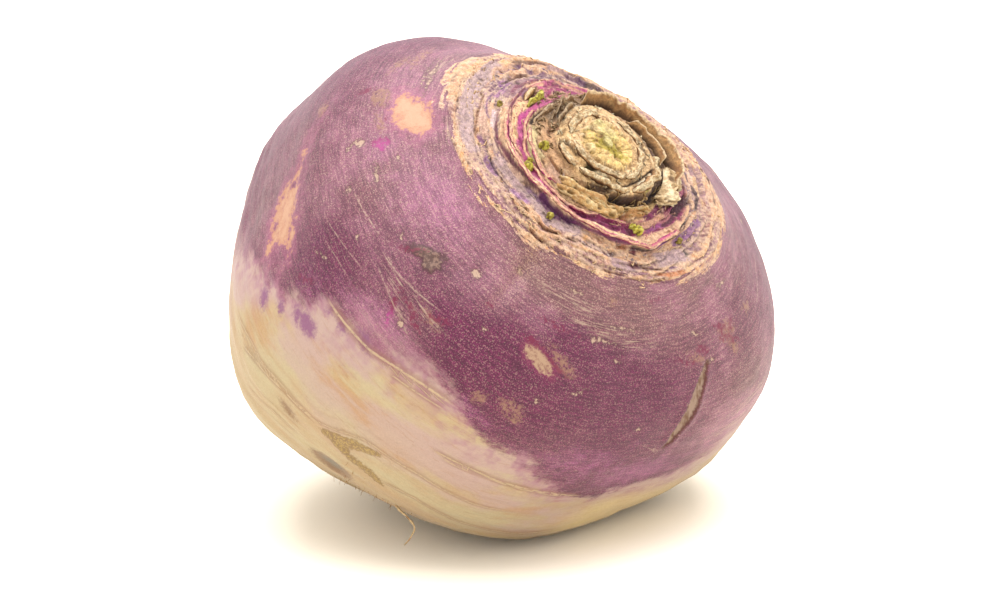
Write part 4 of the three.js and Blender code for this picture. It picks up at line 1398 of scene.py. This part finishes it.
def painted_material(name, grit, bumps, roughness):
    """A piece's own paint, with fine grit, and bumps of so many mm."""
    s = Shader(name, Specular_IOR_Level=0.2)
    place = s.attribute("place", "Vector")
    coarse, fine = s.noise(place, 1.4, 5, 0.62), s.noise(place, 4.5, 3, 0.6)
    colour = s.shade(s.attribute("paint", "Color"), s.step(coarse, 0.3, 0.7), 1 - grit, 1 + 1.6 * grit)
    colour = s.shade(colour, s.step(fine, 0.35, 0.65), 1 - grit, 1 + 1.4 * grit)
    height = s.plus(s.times(coarse, bumps), (fine, 0.5 * bumps))
    return s.finish(colour, s.add(roughness, s.times(coarse, 0.15)), height)


# ---- dried leaf-stalk bases ------------------------------------------------------

def on_crown(distance, heading, lift):
    """Points over the smooth body under the crown, and lift mm above it."""
    distance, heading, lift = np.broadcast_arrays(distance, heading, lift)
    x = CROWN_OFFSET[0] + distance * np.cos(np.radians(heading))
    y = CROWN_OFFSET[1] + distance * np.sin(np.radians(heading))
    polar = np.degrees(np.arcsin(np.hypot(x, y) / CROWN_SPAN))
    turn = np.degrees(np.arctan2(y, x))
    return to_part(direction(polar, turn) * (body_radius(polar, turn) + lift)[..., None])


MAP_REACH, MAP_STEP = 34, 0.25        # mm
MAP_LINE = np.arange(-MAP_REACH, MAP_REACH + MAP_STEP, MAP_STEP)
CROWN_MAP = Crown(*np.meshgrid(MAP_LINE, MAP_LINE, indexing="ij")).relief()


def crown_height(distance, heading):
    """The crown's relief at places about the rings' middle."""
    turn = np.radians(heading)
    x = (distance * np.cos(turn) + MAP_REACH) / MAP_STEP
    y = (distance * np.sin(turn) + MAP_REACH) / MAP_STEP
    i, j = np.floor(x).astype(int), np.floor(y).astype(int)
    f, g = x - i, y - j
    return ((1 - f) * ((1 - g) * CROWN_MAP[i, j] + g * CROWN_MAP[i, j + 1])
            + f * ((1 - g) * CROWN_MAP[i + 1, j] + g * CROWN_MAP[i + 1, j + 1]))


# each CAD node's look, then its ridges: how far the crest stands over the crown, how
# far the ridge reaches inward and outward from its crest, how far the crest leans
# outward, how ragged it is, and the crest's line as (heading, distance)
LEAF_BASES = [
    ("cut_stalk", [
        (0.5, 0.9, 1.0, 0.1, 0.9, [(160, 6.1), (205, 7.0), (235, 8.1), (250, 8.7)]),
        (0.55, 0.7, 0.9, 0.1, 0.8, [(262, 8.9), (285, 9.2), (315, 9.0), (340, 8.9), (352, 8.8)]),
        (0.7, 0.5, 0.9, 0.1, 0.6, [(350, 9.4), (365, 9.0), (382, 8.4), (405, 7.7), (425, 7.3)]),
        (0.6, 0.5, 0.7, 0.1, 0.7, [(430, 7.6), (455, 7.2), (482, 6.6)]),
    ]),
    ("cut_stalk", [
        (1.2, 0.7, 0.8, 0.3, 0.5, [(292, 11.7), (305, 11.9), (325, 11.4), (340, 12.2), (352, 12.1)]),
        (1.3, 0.8, 0.9, 0.2, 0.5, [(356, 12.0), (370, 11.8), (385, 12.0), (400, 12.4), (415, 12.8),
                                   (432, 12.8)]),
        (0.5, 0.6, 0.8, 0.0, 0.7, [(256, 11.4), (270, 11.8), (288, 12.0)]),
    ]),
    ("dry_sheath", [
        (3.2, 0.3, 0.3, 1.3, 0.06, [(30, 15.4), (44, 16.2), (60, 16.8), (80, 16.6), (104, 15.6),
                                   (128, 14.0), (150, 12.2), (168, 11.2)]),
        (1.9, 0.28, 0.28, 0.7, 0.1, [(62, 14.6), (78, 14.8), (94, 14.2), (112, 13.4)]),
    ]),
    ("golden_sheath", [
        (1.9, 0.35, 1.5, 0.0, 0.45, [(286, 15.8), (296, 15.4), (306, 14.9), (314, 14.7), (322, 14.9),
                                     (332, 15.8), (344, 15.9)]),
        (1.1, 0.4, 1.3, 0.0, 0.6, [(289, 17.4), (300, 17.2), (312, 16.8), (324, 16.8), (338, 17.6)]),
        (0.8, 0.25, 0.5, 0.1, 0.9, [(296, 16.4), (308, 16.0), (318, 15.9), (330, 16.8)]),
        (1.5, 0.25, 0.6, 0.2, 0.5, [(340, 15.9), (350, 15.2), (360, 15.5), (368, 16.6)]),
    ]),
    ("dry_sheath", []),   # the crumpled flap
    ("dry_sheath", [
        (1.3, 0.35, 0.4, 0.2, 0.6, [(192, 9.8), (205, 10.2), (218, 10.3), (230, 10.6), (238, 10.8)]),
        (1.1, 0.3, 0.4, 0.3, 0.7, [(205, 12.7), (214, 13.0), (222, 13.7), (230, 14.8), (239, 15.8)]),
        (1.4, 0.3, 0.3, 0.2, 0.7, [(186, 11.4), (200, 11.8), (214, 11.6), (226, 12.0)]),
        (0.9, 0.3, 0.3, 0.1, 0.8, [(168, 11.6), (180, 12.0), (196, 12.9)]),
    ]),
    ("fleshy_base", [
        (0.5, 0.3, 0.4, 0.1, 0.8, [(222, 15.6), (234, 16.9), (250, 18.0), (262, 18.9), (280, 19.2),
                                   (296, 19.5), (310, 19.1), (322, 18.5)]),
        (0.35, 0.25, 0.4, 0.1, 0.9, [(324, 18.4), (334, 18.3), (345, 18.8)]),
        (0.4, 0.3, 0.5, 0.0, 0.9, [(240, 16.6), (256, 17.4), (272, 17.8), (288, 17.8)]),
    ]),
    ("dry_sheath", [
        (1.5, 0.25, 0.3, 0.5, 0.4, [(78, 18.0), (92, 18.4), (108, 18.0), (126, 17.2)]),
    ]),
    ("fleshy_base", [
        (0.55, 0.45, 0.3, 0.2, 0.7, [(232, 20.6), (244, 21.5), (256, 21.8), (270, 21.6), (283, 21.3),
                                     (294, 20.9), (304, 21.2), (318, 21.4), (330, 21.6), (342, 22.2),
                                     (351, 22.9), (359, 23.6), (366, 23.2), (384, 23.3)]),
        (0.35, 0.3, 0.3, 0.1, 0.9, [(224, 20.3), (236, 20.3), (248, 20.5), (262, 19.9)]),
    ]),
    ("dry_sheath", [
        (1.3, 0.5, 0.5, 0.2, 0.5, [(134, 17.8), (142, 17.6), (150, 17.2)]),
    ]),
    ("dry_sheath", [
        (1.0, 0.6, 0.7, 0.1, 0.6, [(198, 18.2), (206, 17.9), (214, 18.0)]),
    ]),
]
# how much each look's ridges wave, how fast per mm, how striped and folded they are, and
# how fast per mm their crests rise and fall
WAVES = {
    "cut_stalk": (0.4, 0.5, 0.4, 0.3, 0.8),
    "dry_sheath": (0.5, 0.1, 0.1, 0.08, 0.14),
    "mould": (0.4, 0.5, 0.4, 0.4, 0.7),
    "golden_sheath": (0.5, 0.25, 0.25, 0.2, 0.3),
    "fleshy_base": (0.35, 0.35, 0.4, 0.2, 0.6),
    "bud": (0.2, 0.4, 0.4, 0.3, 0.8),
}
WALL_STEP = 0.2       # mm between a ridge's sections
WALL_SIDES = 22       # points round a section
WALL_ROOT = 1.0       # how far a ridge's foot goes into the crown, in mm
WALL_END = 1.6        # mm in which a ridge rises at each end
PITTED = {"golden_sheath": 1.0, "cut_stalk": 0.5}   # how deep the pits of some looks are
MOULDY = 6            # the leaf base whose sheath is mouldy
# the crumpled flap: headings, distances of its foot and edge, height, thickness
FLAP_SPAN = (17, 58)
FLAP_FOOT, FLAP_EDGE, FLAP_RISE, FLAP_THICK = 15.0, 20.8, 2.6, 0.3
FLAP_SECTIONS, FLAP_SIDES = 70, 80


def cut_stalk_paint(height, along, grit, pits):
    """Pale granular top, with brown fibres down its sides, and painted shade in its pits and at its
    foot.
    """
    side = tinted(height.shape, (206, 156, 108), ((126, 82, 48), smoothstep(along, -0.2, 0.3)))
    top = tinted(height.shape, (242, 218, 176), ((204, 166, 118), smoothstep(grit, -0.1, 0.3)),
                 ((142, 108, 74), pits * 0.8))
    colour = blend(side, top, smoothstep(height + 0.15 * grit, 0.5, 0.85))
    # painted shade at the foot of the ridge
    return blend(colour, rgb(64, 40, 24), (1 - smoothstep(height, 0.05, 0.45)) * 0.8)


def dry_sheath_paint(height, along, grit, _pits):
    """Brown paper with fine stripes, a pale worn edge, and painted shade towards its foot."""
    side = tinted(height.shape, (184, 136, 84), ((150, 102, 60), smoothstep(along, -0.1, 0.35)),
                  ((196, 154, 100), smoothstep(-along, 0.1, 0.4) * 0.6))
    colour = blend(side, rgb(234, 204, 160), smoothstep(height + 0.12 * grit, 0.84, 0.96) * 0.9)
    # painted shade at the foot of the sheath
    return blend(colour, rgb(52, 30, 16), (1 - smoothstep(height, 0.1, 0.75)) * 0.85)


def mould_paint(height, along, grit, _pits):
    """Grey-green mould over dark shreds."""
    side = tinted(height.shape, (156, 118, 84), ((206, 174, 134), smoothstep(along, -0.1, 0.3)),
                  ((92, 62, 42), smoothstep(grit, 0.1, 0.4)))
    return blend(side, rgb(214, 188, 154), smoothstep(height + 0.2 * grit, 0.84, 0.97) * 0.7)


def golden_sheath_paint(height, along, grit, pits):
    """Golden crumple, with painted shade in its pits and at its foot."""
    colour = tinted(height.shape, (226, 182, 120), ((242, 212, 160), smoothstep(grit, -0.1, 0.3)),
                    ((186, 130, 72), smoothstep(along, 0.0, 0.35) * 0.8), ((104, 72, 30), pits * 0.85))
    return blend(colour, rgb(60, 36, 20), (1 - smoothstep(height, 0.0, 0.35)) * 0.6)


def fleshy_base_paint(height, along, grit, _pits):
    """Magenta flesh with a cream edge that comes and goes."""
    side = tinted(height.shape, (196, 78, 130), ((140, 40, 92), smoothstep(along, -0.05, 0.3)),
                  ((206, 120, 130), smoothstep(-along, 0.1, 0.35) * 0.7))
    edge = tinted(height.shape, (248, 206, 162), ((220, 154, 134), smoothstep(grit, -0.1, 0.3)))
    return blend(side, edge, smoothstep(height + 0.5 * along + 0.2 * grit, 0.62, 0.9))


def bud_paint(height, lump, bright=1.0):
    """Yellow-green, with painted highlights on its lumps and painted shade in its folds, and brown at
    its foot.
    """
    return tinted(height.shape, (208, 194, 72), ((228, 218, 124), smoothstep(lump, 0.0, 0.4)),
                  ((136, 116, 44), smoothstep(-lump, 0.02, 0.3)),
                  ((120, 84, 62), np.full(height.shape, 0.65 * (1 - bright))),
                  ((138, 84, 70), (1 - smoothstep(height + 0.2 * lump, 0.1, 0.4)) * 0.8))


# colours by height up the ridge from 0 to 1, noise along it, grit, and pits
WALL_PAINTS = {
    "cut_stalk": cut_stalk_paint,
    "dry_sheath": dry_sheath_paint,
    "mould": mould_paint,
    "golden_sheath": golden_sheath_paint,
    "fleshy_base": fleshy_base_paint,
    "bud": lambda height, _along, lump, _pits: bud_paint(height, lump),
}


def ridge_line(seed, look, rise, ragged, line):
    """Each section of a ridge: how many mm along it, its heading and distance, how full
    it is from 0 to 1, and its crest's height."""
    wave, pace, _, _, notching = WAVES[look]
    knots, distances = np.array(line, float).T
    length = np.radians(knots[-1] - knots[0]) * distances.mean()
    share = np.linspace(0, 1, int(length / WALL_STEP) + 4)[:, None]
    heading = knots[0] + (knots[-1] - knots[0]) * share
    at = share * length
    run = np.concatenate([at, 0 * at, 0 * at], -1)
    middle = np.interp(heading, knots, distances)
    middle += wave * fractal(run * pace, 4, seed=80 + seed, gain=0.4)[:, None]
    full = smoothstep(at, 0, WALL_END) * smoothstep((1 - share) * length, 0, WALL_END)
    notch = fractal(run * notching, 4, seed=60 + seed, gain=0.5)[:, None]
    return at, heading, middle, full, rise * (0.25 + 0.75 * full) * (1 + 1.5 * ragged * notch)


def ridge(seed, look, pitted, rise, inward, outward, lean, ragged, line):
    """One thin ragged ridge along a line over the crown. Each of its sections goes from
    the inner foot over the crest to the outer foot."""
    _, _, striped, folded, _ = WAVES[look]
    at, heading, middle, full, crest = ridge_line(seed, look, rise, ragged, line)
    over = 1.3 * np.pi * np.arange(WALL_SIDES)[None, :] / WALL_SIDES - 0.15 * np.pi
    across, upward = -np.cos(over), np.sin(over)
    high = np.clip(upward, 0, 1) ** 0.8
    spot = np.stack([at + 0 * across, 2 * across + 0 * at, 2 * upward + 0 * at], -1)
    stripes = fractal(spot * np.array([0.4, 1.2, 1.2]), 4, seed=100 + seed, gain=0.6)
    grit = fractal(spot * 1.7, 3, seed=120 + seed)
    hollow = cells(spot * 0.45, seed=140 + seed)[0]
    pits = pitted * (1 - smoothstep(hollow, 0.2, 0.42)) * smoothstep(high, 0.3, 0.7)
    half = np.where(across < 0, inward, outward) * (0.4 + 0.6 * full) * (1 + striped * stripes)
    folds = folded * high * fractal(spot * np.array([0.7, 0.4, 0.4]), 3, seed=160 + seed)
    distance = middle + lean * high * crest / rise + across * half + folds
    lift = crown_height(middle, heading) + np.where(upward > 0, high * crest, 2 * upward * WALL_ROOT)
    lift = lift + high * (0.25 * ragged * grit - 0.8 * pits)
    return closed_loops(on_crown(distance, heading, lift),
                        WALL_PAINTS[look](high, stripes, grit, pits))


def flap():
    """A dry crumpled flap that folds outward over the crown's terrace: its upper side
    from foot to edge, then its under side back to the foot."""
    along = np.linspace(0, 1, FLAP_SECTIONS)[:, None]
    half = FLAP_SIDES // 2
    out = np.concatenate([np.linspace(0, 1, half), np.linspace(1, 0, half)])[None, :]
    under = np.concatenate([np.zeros(half), np.ones(half)])[None, :]
    heading = FLAP_SPAN[0] + (FLAP_SPAN[1] - FLAP_SPAN[0]) * along
    place = np.stack([9 * along + 0 * out, 6 * out + 0 * along, 0 * (along + out)], -1)
    torn = fractal(place * np.array([0.5, 0.0, 0.0]), 4, seed=171)
    width = np.sin(np.pi * np.clip(along, 0.02, 0.98)) ** 0.4 * (0.85 + 0.5 * torn)
    crumple = fractal(place * 0.35, 4, seed=172, gain=0.65)
    folds = np.abs(fractal(place * np.array([0.6, 0.35, 0.5]), 3, seed=173))
    distance = FLAP_FOOT + (FLAP_EDGE - FLAP_FOOT) * out * width + 1.4 * crumple * out
    arch = np.sin(np.pi * np.clip(0.12 + 0.78 * out, 0, 1)) - 0.25
    lift = FLAP_RISE * arch * (0.55 + 0.45 * width) + (2.0 * crumple + 2.2 * (0.25 - folds)) * out
    lift = lift - FLAP_THICK * under * np.sin(np.pi * out) ** 0.3 - 0.6
    grit = fractal(place * 1.5, 3, seed=174)
    # painted highlight on the crumples and painted shade in the folds
    colour = tinted(lift.shape, (214, 180, 134),
                    ((246, 222, 180), smoothstep(crumple - folds, -0.25, 0.05)),
                    ((104, 70, 42), smoothstep(folds, 0.22, 0.4) * 0.85),
                    ((166, 132, 84), smoothstep(grit, 0.05, 0.35) * 0.5),
                    ((238, 222, 184), smoothstep(out + 0.05 * grit, 0.92, 1.0) * 0.8))
    # painted shade on the flap's under side
    colour = blend(colour, rgb(84, 56, 34), np.broadcast_to(under * 0.7, lift.shape))
    return closed_loops(on_crown(distance, heading, lift), colour)


def build_leaf_bases():
    """Each leaf base, as ridges on the crown."""
    materials = {
        "cut_stalk": painted_material("cut_stalk", 0.25, 0.4, 0.7),
        "dry_sheath": painted_material("dry_sheath", 0.2, 0.15, 0.6),
        "golden_sheath": painted_material("golden_sheath", 0.15, 0.25, 0.65),
        "fleshy_base": painted_material("fleshy_base", 0.2, 0.2, 0.45),
    }
    for number, (look, ridges) in enumerate(LEAF_BASES, 1):
        style = "mould" if number == MOULDY else look
        parts = [ridge(10 * number + i, style, PITTED.get(look, 0.0), *shape)
                 for i, shape in enumerate(ridges)] or [flap()]
        base = f"leaf_base_{number}"
        add_piece(base + "_look", look, [base], materials[look], join(parts))


# ---- buds ------------------------------------------------------------------------

# distance, heading, width and height, as in the CAD model, then how bright a green
BUDS = [
    (16.4, 209, 2.4, 3.0, 1.0), (15.0, 259, 2.0, 2.6, 1.0), (20.2, 270, 2.2, 2.6, 0.9),
    (23.9, 298, 1.5, 1.8, 0.6), (20.2, 352, 2.2, 2.4, 1.0), (22.4, 223, 1.4, 1.6, 0.3),
    (25.3, 22, 1.6, 1.6, 0.3),
]
BUD_RINGS, BUD_SIDES = 36, 48
BUD_FOOT = 0.8            # mm that a bud's foot goes into the crown
DOUBLE_BUDS = (3, 5)      # these have a smaller one beside them
# the first bud, which is curled along its ring, as a ridge
CURLED_BUD = (1.4, 0.55, 0.55, 0.1, 0.4, [(196, 17.3), (200, 16.3), (205, 15.8), (210, 16.2),
                                          (215, 16.9), (220, 17.2)])


def bud(seed, distance, heading, width, height, bright):
    """A small lumpy bud, with its foot in the crown."""
    ground = float(crown_height(np.array([distance]), np.array([heading]))[0])
    foot = on_crown(distance, heading, ground - BUD_FOOT)
    tip = on_crown(distance, heading, ground + 0.8 * height)
    up = (tip - foot) / np.linalg.norm(tip - foot)
    across = np.cross(up, [0, 0, 1])
    across /= np.linalg.norm(across)
    along = np.cross(up, across)
    share = np.linspace(0.0, 1.0, BUD_RINGS)[:, None]
    turn = 2 * np.pi * np.arange(BUD_SIDES)[None, :] / BUD_SIDES
    bulge = np.sin(np.pi * (0.2 + 0.8 * share)) ** 0.5
    ball = np.stack([bulge * np.cos(turn), bulge * np.sin(turn), 1.6 * share + 0 * turn], -1)
    lump = 0.45 - cells(ball * 1.5, seed=200 + seed)[0]
    lump += 0.3 * fractal(ball * 1.5, 3, seed=220 + seed)
    radius = width / 2 * bulge * (1 + 0.55 * lump)
    top = share * np.linalg.norm(tip - foot) * (1 + 0.15 * lump * smoothstep(share, 0.3, 0.8))
    loops = (foot + up * top[..., None] + across * (radius * np.cos(turn))[..., None]
             + along * (radius * np.sin(turn))[..., None])
    return closed_loops(loops, bud_paint(share + 0 * turn, lump, bright))


def build_buds():
    """The green buds between the leaf bases."""
    green = painted_material("bud", 0.18, 0.15, 0.5)
    for number, (distance, heading, width, height, bright) in enumerate(BUDS, 1):
        if number == 1:
            parts = [ridge(5, "bud", 0.0, *CURLED_BUD)]
        else:
            parts = [bud(number, distance, heading, width, height, bright)]
        if number in DOUBLE_BUDS:
            beside = distance - 1.1, heading - 3
            parts.append(bud(number + 20, *beside, 0.6 * width, 0.7 * height, bright))
        add_piece(f"bud_{number}_look", "bud", [f"bud_{number}"], green, join(parts))


# ---- rootlets and hairs ----------------------------------------------------------

ROOTLET_RADIUS, ROOTLET_STEPS, ROOTLET_SIDES = 0.3, 60, 8
ROOTLETS = [  # polar, heading, and the run from the skin in the part's axes, as in the CAD model
    (106, 312, [(0.8, -0.8, -0.9), (2.4, -1.4, -2.2), (3.8, -2.0, -4.2), (2.9, -2.2, -6.4),
                (1.6, -2.4, -8.0)]),
    (176, 10, [(-0.6, 0.4, -1.2), (0.6, 0.9, -2.6), (-0.4, 2.2, -3.8)]),
    (176, 190, [(-1.4, 1.2, -1.6), (-3.4, 1.4, -3.4), (-4.8, 3.2, -4.6), (-7.0, 3.4, -5.4)]),
]


def curve_through(points, count):
    """Evenly stepped points of a smooth curve through some points."""
    points = np.asarray(points, float)
    padded = np.vstack([2 * points[0] - points[1], points, 2 * points[-1] - points[-2]])
    return along_curve(padded, np.linspace(0, len(points) - 1, count))


def tube(route, radii, sides):
    """Points and faces of a closed tube along a route; its frame is carried along it."""
    ahead = np.gradient(route, axis=0)
    ahead /= np.linalg.norm(ahead, axis=1)[:, None]
    across = np.cross(ahead[0], [0.3, 0.5, 0.8])
    rings = []
    for point, forward, radius in zip(route, ahead, radii):
        across = across - forward * (across @ forward)
        across /= np.linalg.norm(across)
        other = np.cross(forward, across)
        turn = 2 * np.pi * np.arange(sides)[:, None] / sides
        rings.append(point + radius * (across * np.cos(turn) + other * np.sin(turn)))
    points = np.vstack([*rings, route[:1], route[-1:]])
    return points, capped_grid(len(route), sides)


def fibre_paint(points, seed):
    """Tan, with browner stretches."""
    tone = fractal(points * 0.8, 3, seed=seed)
    return blend(np.broadcast_to(rgb(238, 206, 156), points.shape), rgb(196, 146, 92),
                 smoothstep(tone, -0.1, 0.4))


def build_rootlet(number, rootlet, material):
    """One fine rootlet, knobbly and tapering."""
    polar, heading, run = rootlet
    start = on_skin(polar, heading)
    bends = [on_skin(polar, heading, -0.8), start, *(start + np.array(step) for step in run)]
    route = curve_through(bends, ROOTLET_STEPS)
    knobs = 1 + 0.3 * noise(route * 1.5, seed=180 + number)
    taper = np.linspace(1.15, 0.35, ROOTLET_STEPS)
    points, faces = tube(route, ROOTLET_RADIUS * taper * knobs, ROOTLET_SIDES)
    node = f"rootlet_{number}"
    shape = (points, faces, fibre_paint(points, 190 + number))
    add_piece(node + "_look", "rootlet", [node], material, shape)


# where fine hairs grow: polar and heading spans, count, longest in mm
HAIR_PATCHES = [
    ((104, 125), (296, 316), 40, 1.8),
    ((98, 104), (290, 304), 10, 1.0),
    ((150, 172), (0, 360), 40, 4.0),
    ((28, 33), (190, 300), 16, 1.6),
]
HAIR_RADIUS, HAIR_STEPS, HAIR_SIDES = 0.07, 9, 5


def hair(draw, polars, headings, longest):
    """One fine hair that grows out of the skin and droops."""
    polar, heading = draw.uniform(*polars), draw.uniform(*headings)
    foot = on_skin(polar, heading, -0.3)
    out = on_skin(polar, heading, 1.0) - on_skin(polar, heading, 0.0)
    sideways = draw.normal(size=3)
    length = longest * draw.uniform(0.35, 1.0)
    bend = draw.normal(size=3) * 0.5
    middle = foot + length * (0.45 * out + 0.3 * sideways / np.linalg.norm(sideways))
    end = middle + length * (0.25 * out + 0.35 * bend + np.array([0, 0, -0.25]))
    route = curve_through([foot, middle, end], HAIR_STEPS)
    points, faces = tube(route, HAIR_RADIUS * np.linspace(1.2, 0.4, HAIR_STEPS), HAIR_SIDES)
    points[:, 2] = np.maximum(points[:, 2], 0.1)
    return points, faces, fibre_paint(points, 199)


def build_hairs(material):
    """Fine root hairs, all in one piece."""
    draw = np.random.default_rng(7)
    parts = [hair(draw, polars, headings, longest)
             for polars, headings, count, longest in HAIR_PATCHES for _ in range(count)]
    add_piece("root_hairs", "rootlet", [], material, join(parts))


# ---- torn scraps on the crown ----------------------------------------------------

# distance span, heading span, count, length, height, outward lean, colours: its own, a painted shade for
# its foot and a painted highlight for its top
SCRAPS = [
    ((25.5, 30.5), (0, 360), 170, 2.4, 0.3, 0.4, ((232, 186, 138), (150, 96, 64), (252, 222, 184))),
    ((22.6, 26.0), (0, 360), 90, 2.4, 0.3, 0.3, ((190, 164, 168), (110, 66, 96), (232, 196, 166))),
    ((17.5, 21.5), (0, 360), 90, 2.8, 0.35, 0.2, ((220, 150, 134), (140, 50, 92), (244, 208, 166))),
    ((11.0, 15.5), (160, 262), 50, 1.8, 0.5, 0.3, ((160, 124, 88), (106, 74, 50), (216, 184, 142))),
    ((12.5, 17.5), (282, 400), 60, 2.0, 0.7, 0.3, ((200, 158, 102), (94, 58, 32), (240, 208, 158))),
    ((7.5, 12.5), (0, 360), 70, 1.3, 0.45, 0.1, ((216, 192, 148), (150, 112, 76), (240, 226, 196))),
    ((13.0, 18.0), (40, 160), 20, 2.6, 0.7, 0.5, ((132, 92, 54), (70, 42, 24), (206, 166, 112))),
]
SCRAP_STEPS, SCRAP_SIDES = 12, 8


def scrap(draw, distance, heading, length, height, lean, colours):
    """One thin torn layer that stands on the crown, along a ring."""
    share = np.linspace(0, 1, SCRAP_STEPS)[:, None]
    over = 2 * np.pi * np.arange(SCRAP_SIDES)[None, :] / SCRAP_SIDES
    swell = np.clip(np.sin(np.pi * share), 0, 1) ** 0.6
    run = draw.uniform(0, 99, 3) + np.concatenate([share * 3, 0 * share, 0 * share], -1)
    wave = noise(run)[:, None]
    crest = height * swell * (1 + 0.8 * noise(run * 2.3)[:, None])
    upward = np.sin(over)
    thick = draw.uniform(0.07, 0.16)
    middle = distance + 0.5 * wave + draw.normal() * 0.7 * (share - 0.5)
    out = middle + lean * np.clip(upward, 0, 1) * swell + thick * swell * np.cos(over)
    turn = heading + np.degrees(length * (share - 0.5) / distance)
    ground = crown_height(middle, turn)
    loops = on_crown(out, turn, ground + np.where(upward > 0, upward * crest, upward * 0.4) - 0.05)
    # the top is painted paler as highlight, the sides and foot darker as shade
    main, dark, pale = (rgb(*colour) for colour in colours)
    high = np.clip(upward, 0, 1) + 0 * share
    colour = blend(np.broadcast_to(main * draw.uniform(0.7, 1.1), (*high.shape, 3)), pale,
                   smoothstep(high, 0.6, 1.0) * 0.7)
    return closed_loops(loops, blend(colour, dark, 1 - smoothstep(high, 0.0, draw.uniform(0.4, 0.8))))


def build_scraps():
    """All the torn scraps of the crown, in one piece."""
    draw = np.random.default_rng(11)
    parts = []
    for distances, headings, count, length, height, lean, colours in SCRAPS:
        for _ in range(count):
            parts.append(scrap(draw, draw.uniform(*distances), draw.uniform(*headings),
                               length * draw.uniform(0.35, 1.0), height * draw.uniform(0.5, 1.2),
                               lean * draw.uniform(0.4, 1.4), colours))
    material = painted_material("scraps", 0.25, 0.15, 0.6)
    add_piece("crown_scraps", "dry_sheath", [], material, join(parts))


# ---- floor, lights and camera ----------------------------------------------------

CAMERA_AIM = np.array([1.0, 0.2, 46.0])     # mm
CAMERA_DISTANCE = 607.2                     # mm
CAMERA_ELEVATION = 15                       # degrees
CAMERA_LENS, CAMERA_SENSOR = 100, 36        # mm
KEY_PLACE, KEY_SIZE, KEY_POWER = (0.06, 0.0, 1.0), 1.1, 20    # metres, metres, watts
SKY_STRENGTH = 1.6
FLOOR_HALF = 3.0                            # metres
FLOOR_COLOUR = np.array([0.93, 0.87, 0.75])


def aim(thing, at):
    """Points a camera's or light's own -Z axis at a place, in mm."""
    away = thing.location - Vector(np.asarray(at) * MM)
    thing.rotation_euler = away.to_track_quat("Z", "Y").to_euler()


def add_camera():
    """A long lens, a little above the root."""
    lens = bpy.data.cameras.new("camera")
    lens.lens = CAMERA_LENS
    lens.sensor_width = CAMERA_SENSOR
    lens.clip_start = 0.01
    camera = add_object("camera", lens)
    up = math.radians(CAMERA_ELEVATION)
    back = np.array([0, -math.cos(up), math.sin(up)])
    camera.location = (CAMERA_AIM + CAMERA_DISTANCE * back) * MM
    aim(camera, CAMERA_AIM)
    bpy.context.scene.camera = camera


def add_light():
    """One big square soft light, almost straight above the root."""
    light = bpy.data.lights.new("key", "AREA")
    light.size = KEY_SIZE
    light.energy = KEY_POWER
    lamp = add_object("key", light)
    lamp.location = KEY_PLACE
    aim(lamp, CAMERA_AIM)


def add_sky():
    """An even white sky, shown as it is."""
    world = bpy.data.worlds.new("sky")
    world.use_nodes = True
    sky = world.node_tree.nodes["Background"]
    sky.inputs["Color"].default_value = (1, 1, 1, 1)
    sky.inputs["Strength"].default_value = SKY_STRENGTH
    bpy.context.scene.world = world
    bpy.context.scene.view_settings.view_transform = "Standard"
    bpy.context.scene.view_settings.look = "None"


def floor_material():
    """Warm white paper."""
    s = Shader("floor", Specular_IOR_Level=0.1)
    grain = s.noise(s.node("TexCoord", {}).outputs["Object"], 900, 2)
    return s.finish(s.shade(FLOOR_COLOUR, grain, 0.99, 1.01), 0.9, s.times(grain, 0.02))


def add_floor():
    """A pale floor under the root."""
    mesh = bpy.data.meshes.new("floor")
    corners = [(-1, -1), (1, -1), (1, 1), (-1, 1)]
    mesh.from_pydata([(x * FLOOR_HALF, y * FLOOR_HALF, 0) for x, y in corners], [], [(0, 1, 2, 3)])
    mesh.materials.append(floor_material())
    floor = add_object("floor", mesh)


# ---- the scene -------------------------------------------------------------------

def build():
    """The floor, light and camera, and every piece of the rutabaga."""
    add_floor()
    add_sky()
    add_light()
    add_camera()
    build_root(skin_material())
    build_leaf_bases()
    build_buds()
    fibre = painted_material("rootlet", 0.15, 0.1, 0.7)
    for number, rootlet in enumerate(ROOTLETS, 1):
        build_rootlet(number, rootlet, fibre)
    build_hairs(fibre)
    build_scraps()


build()
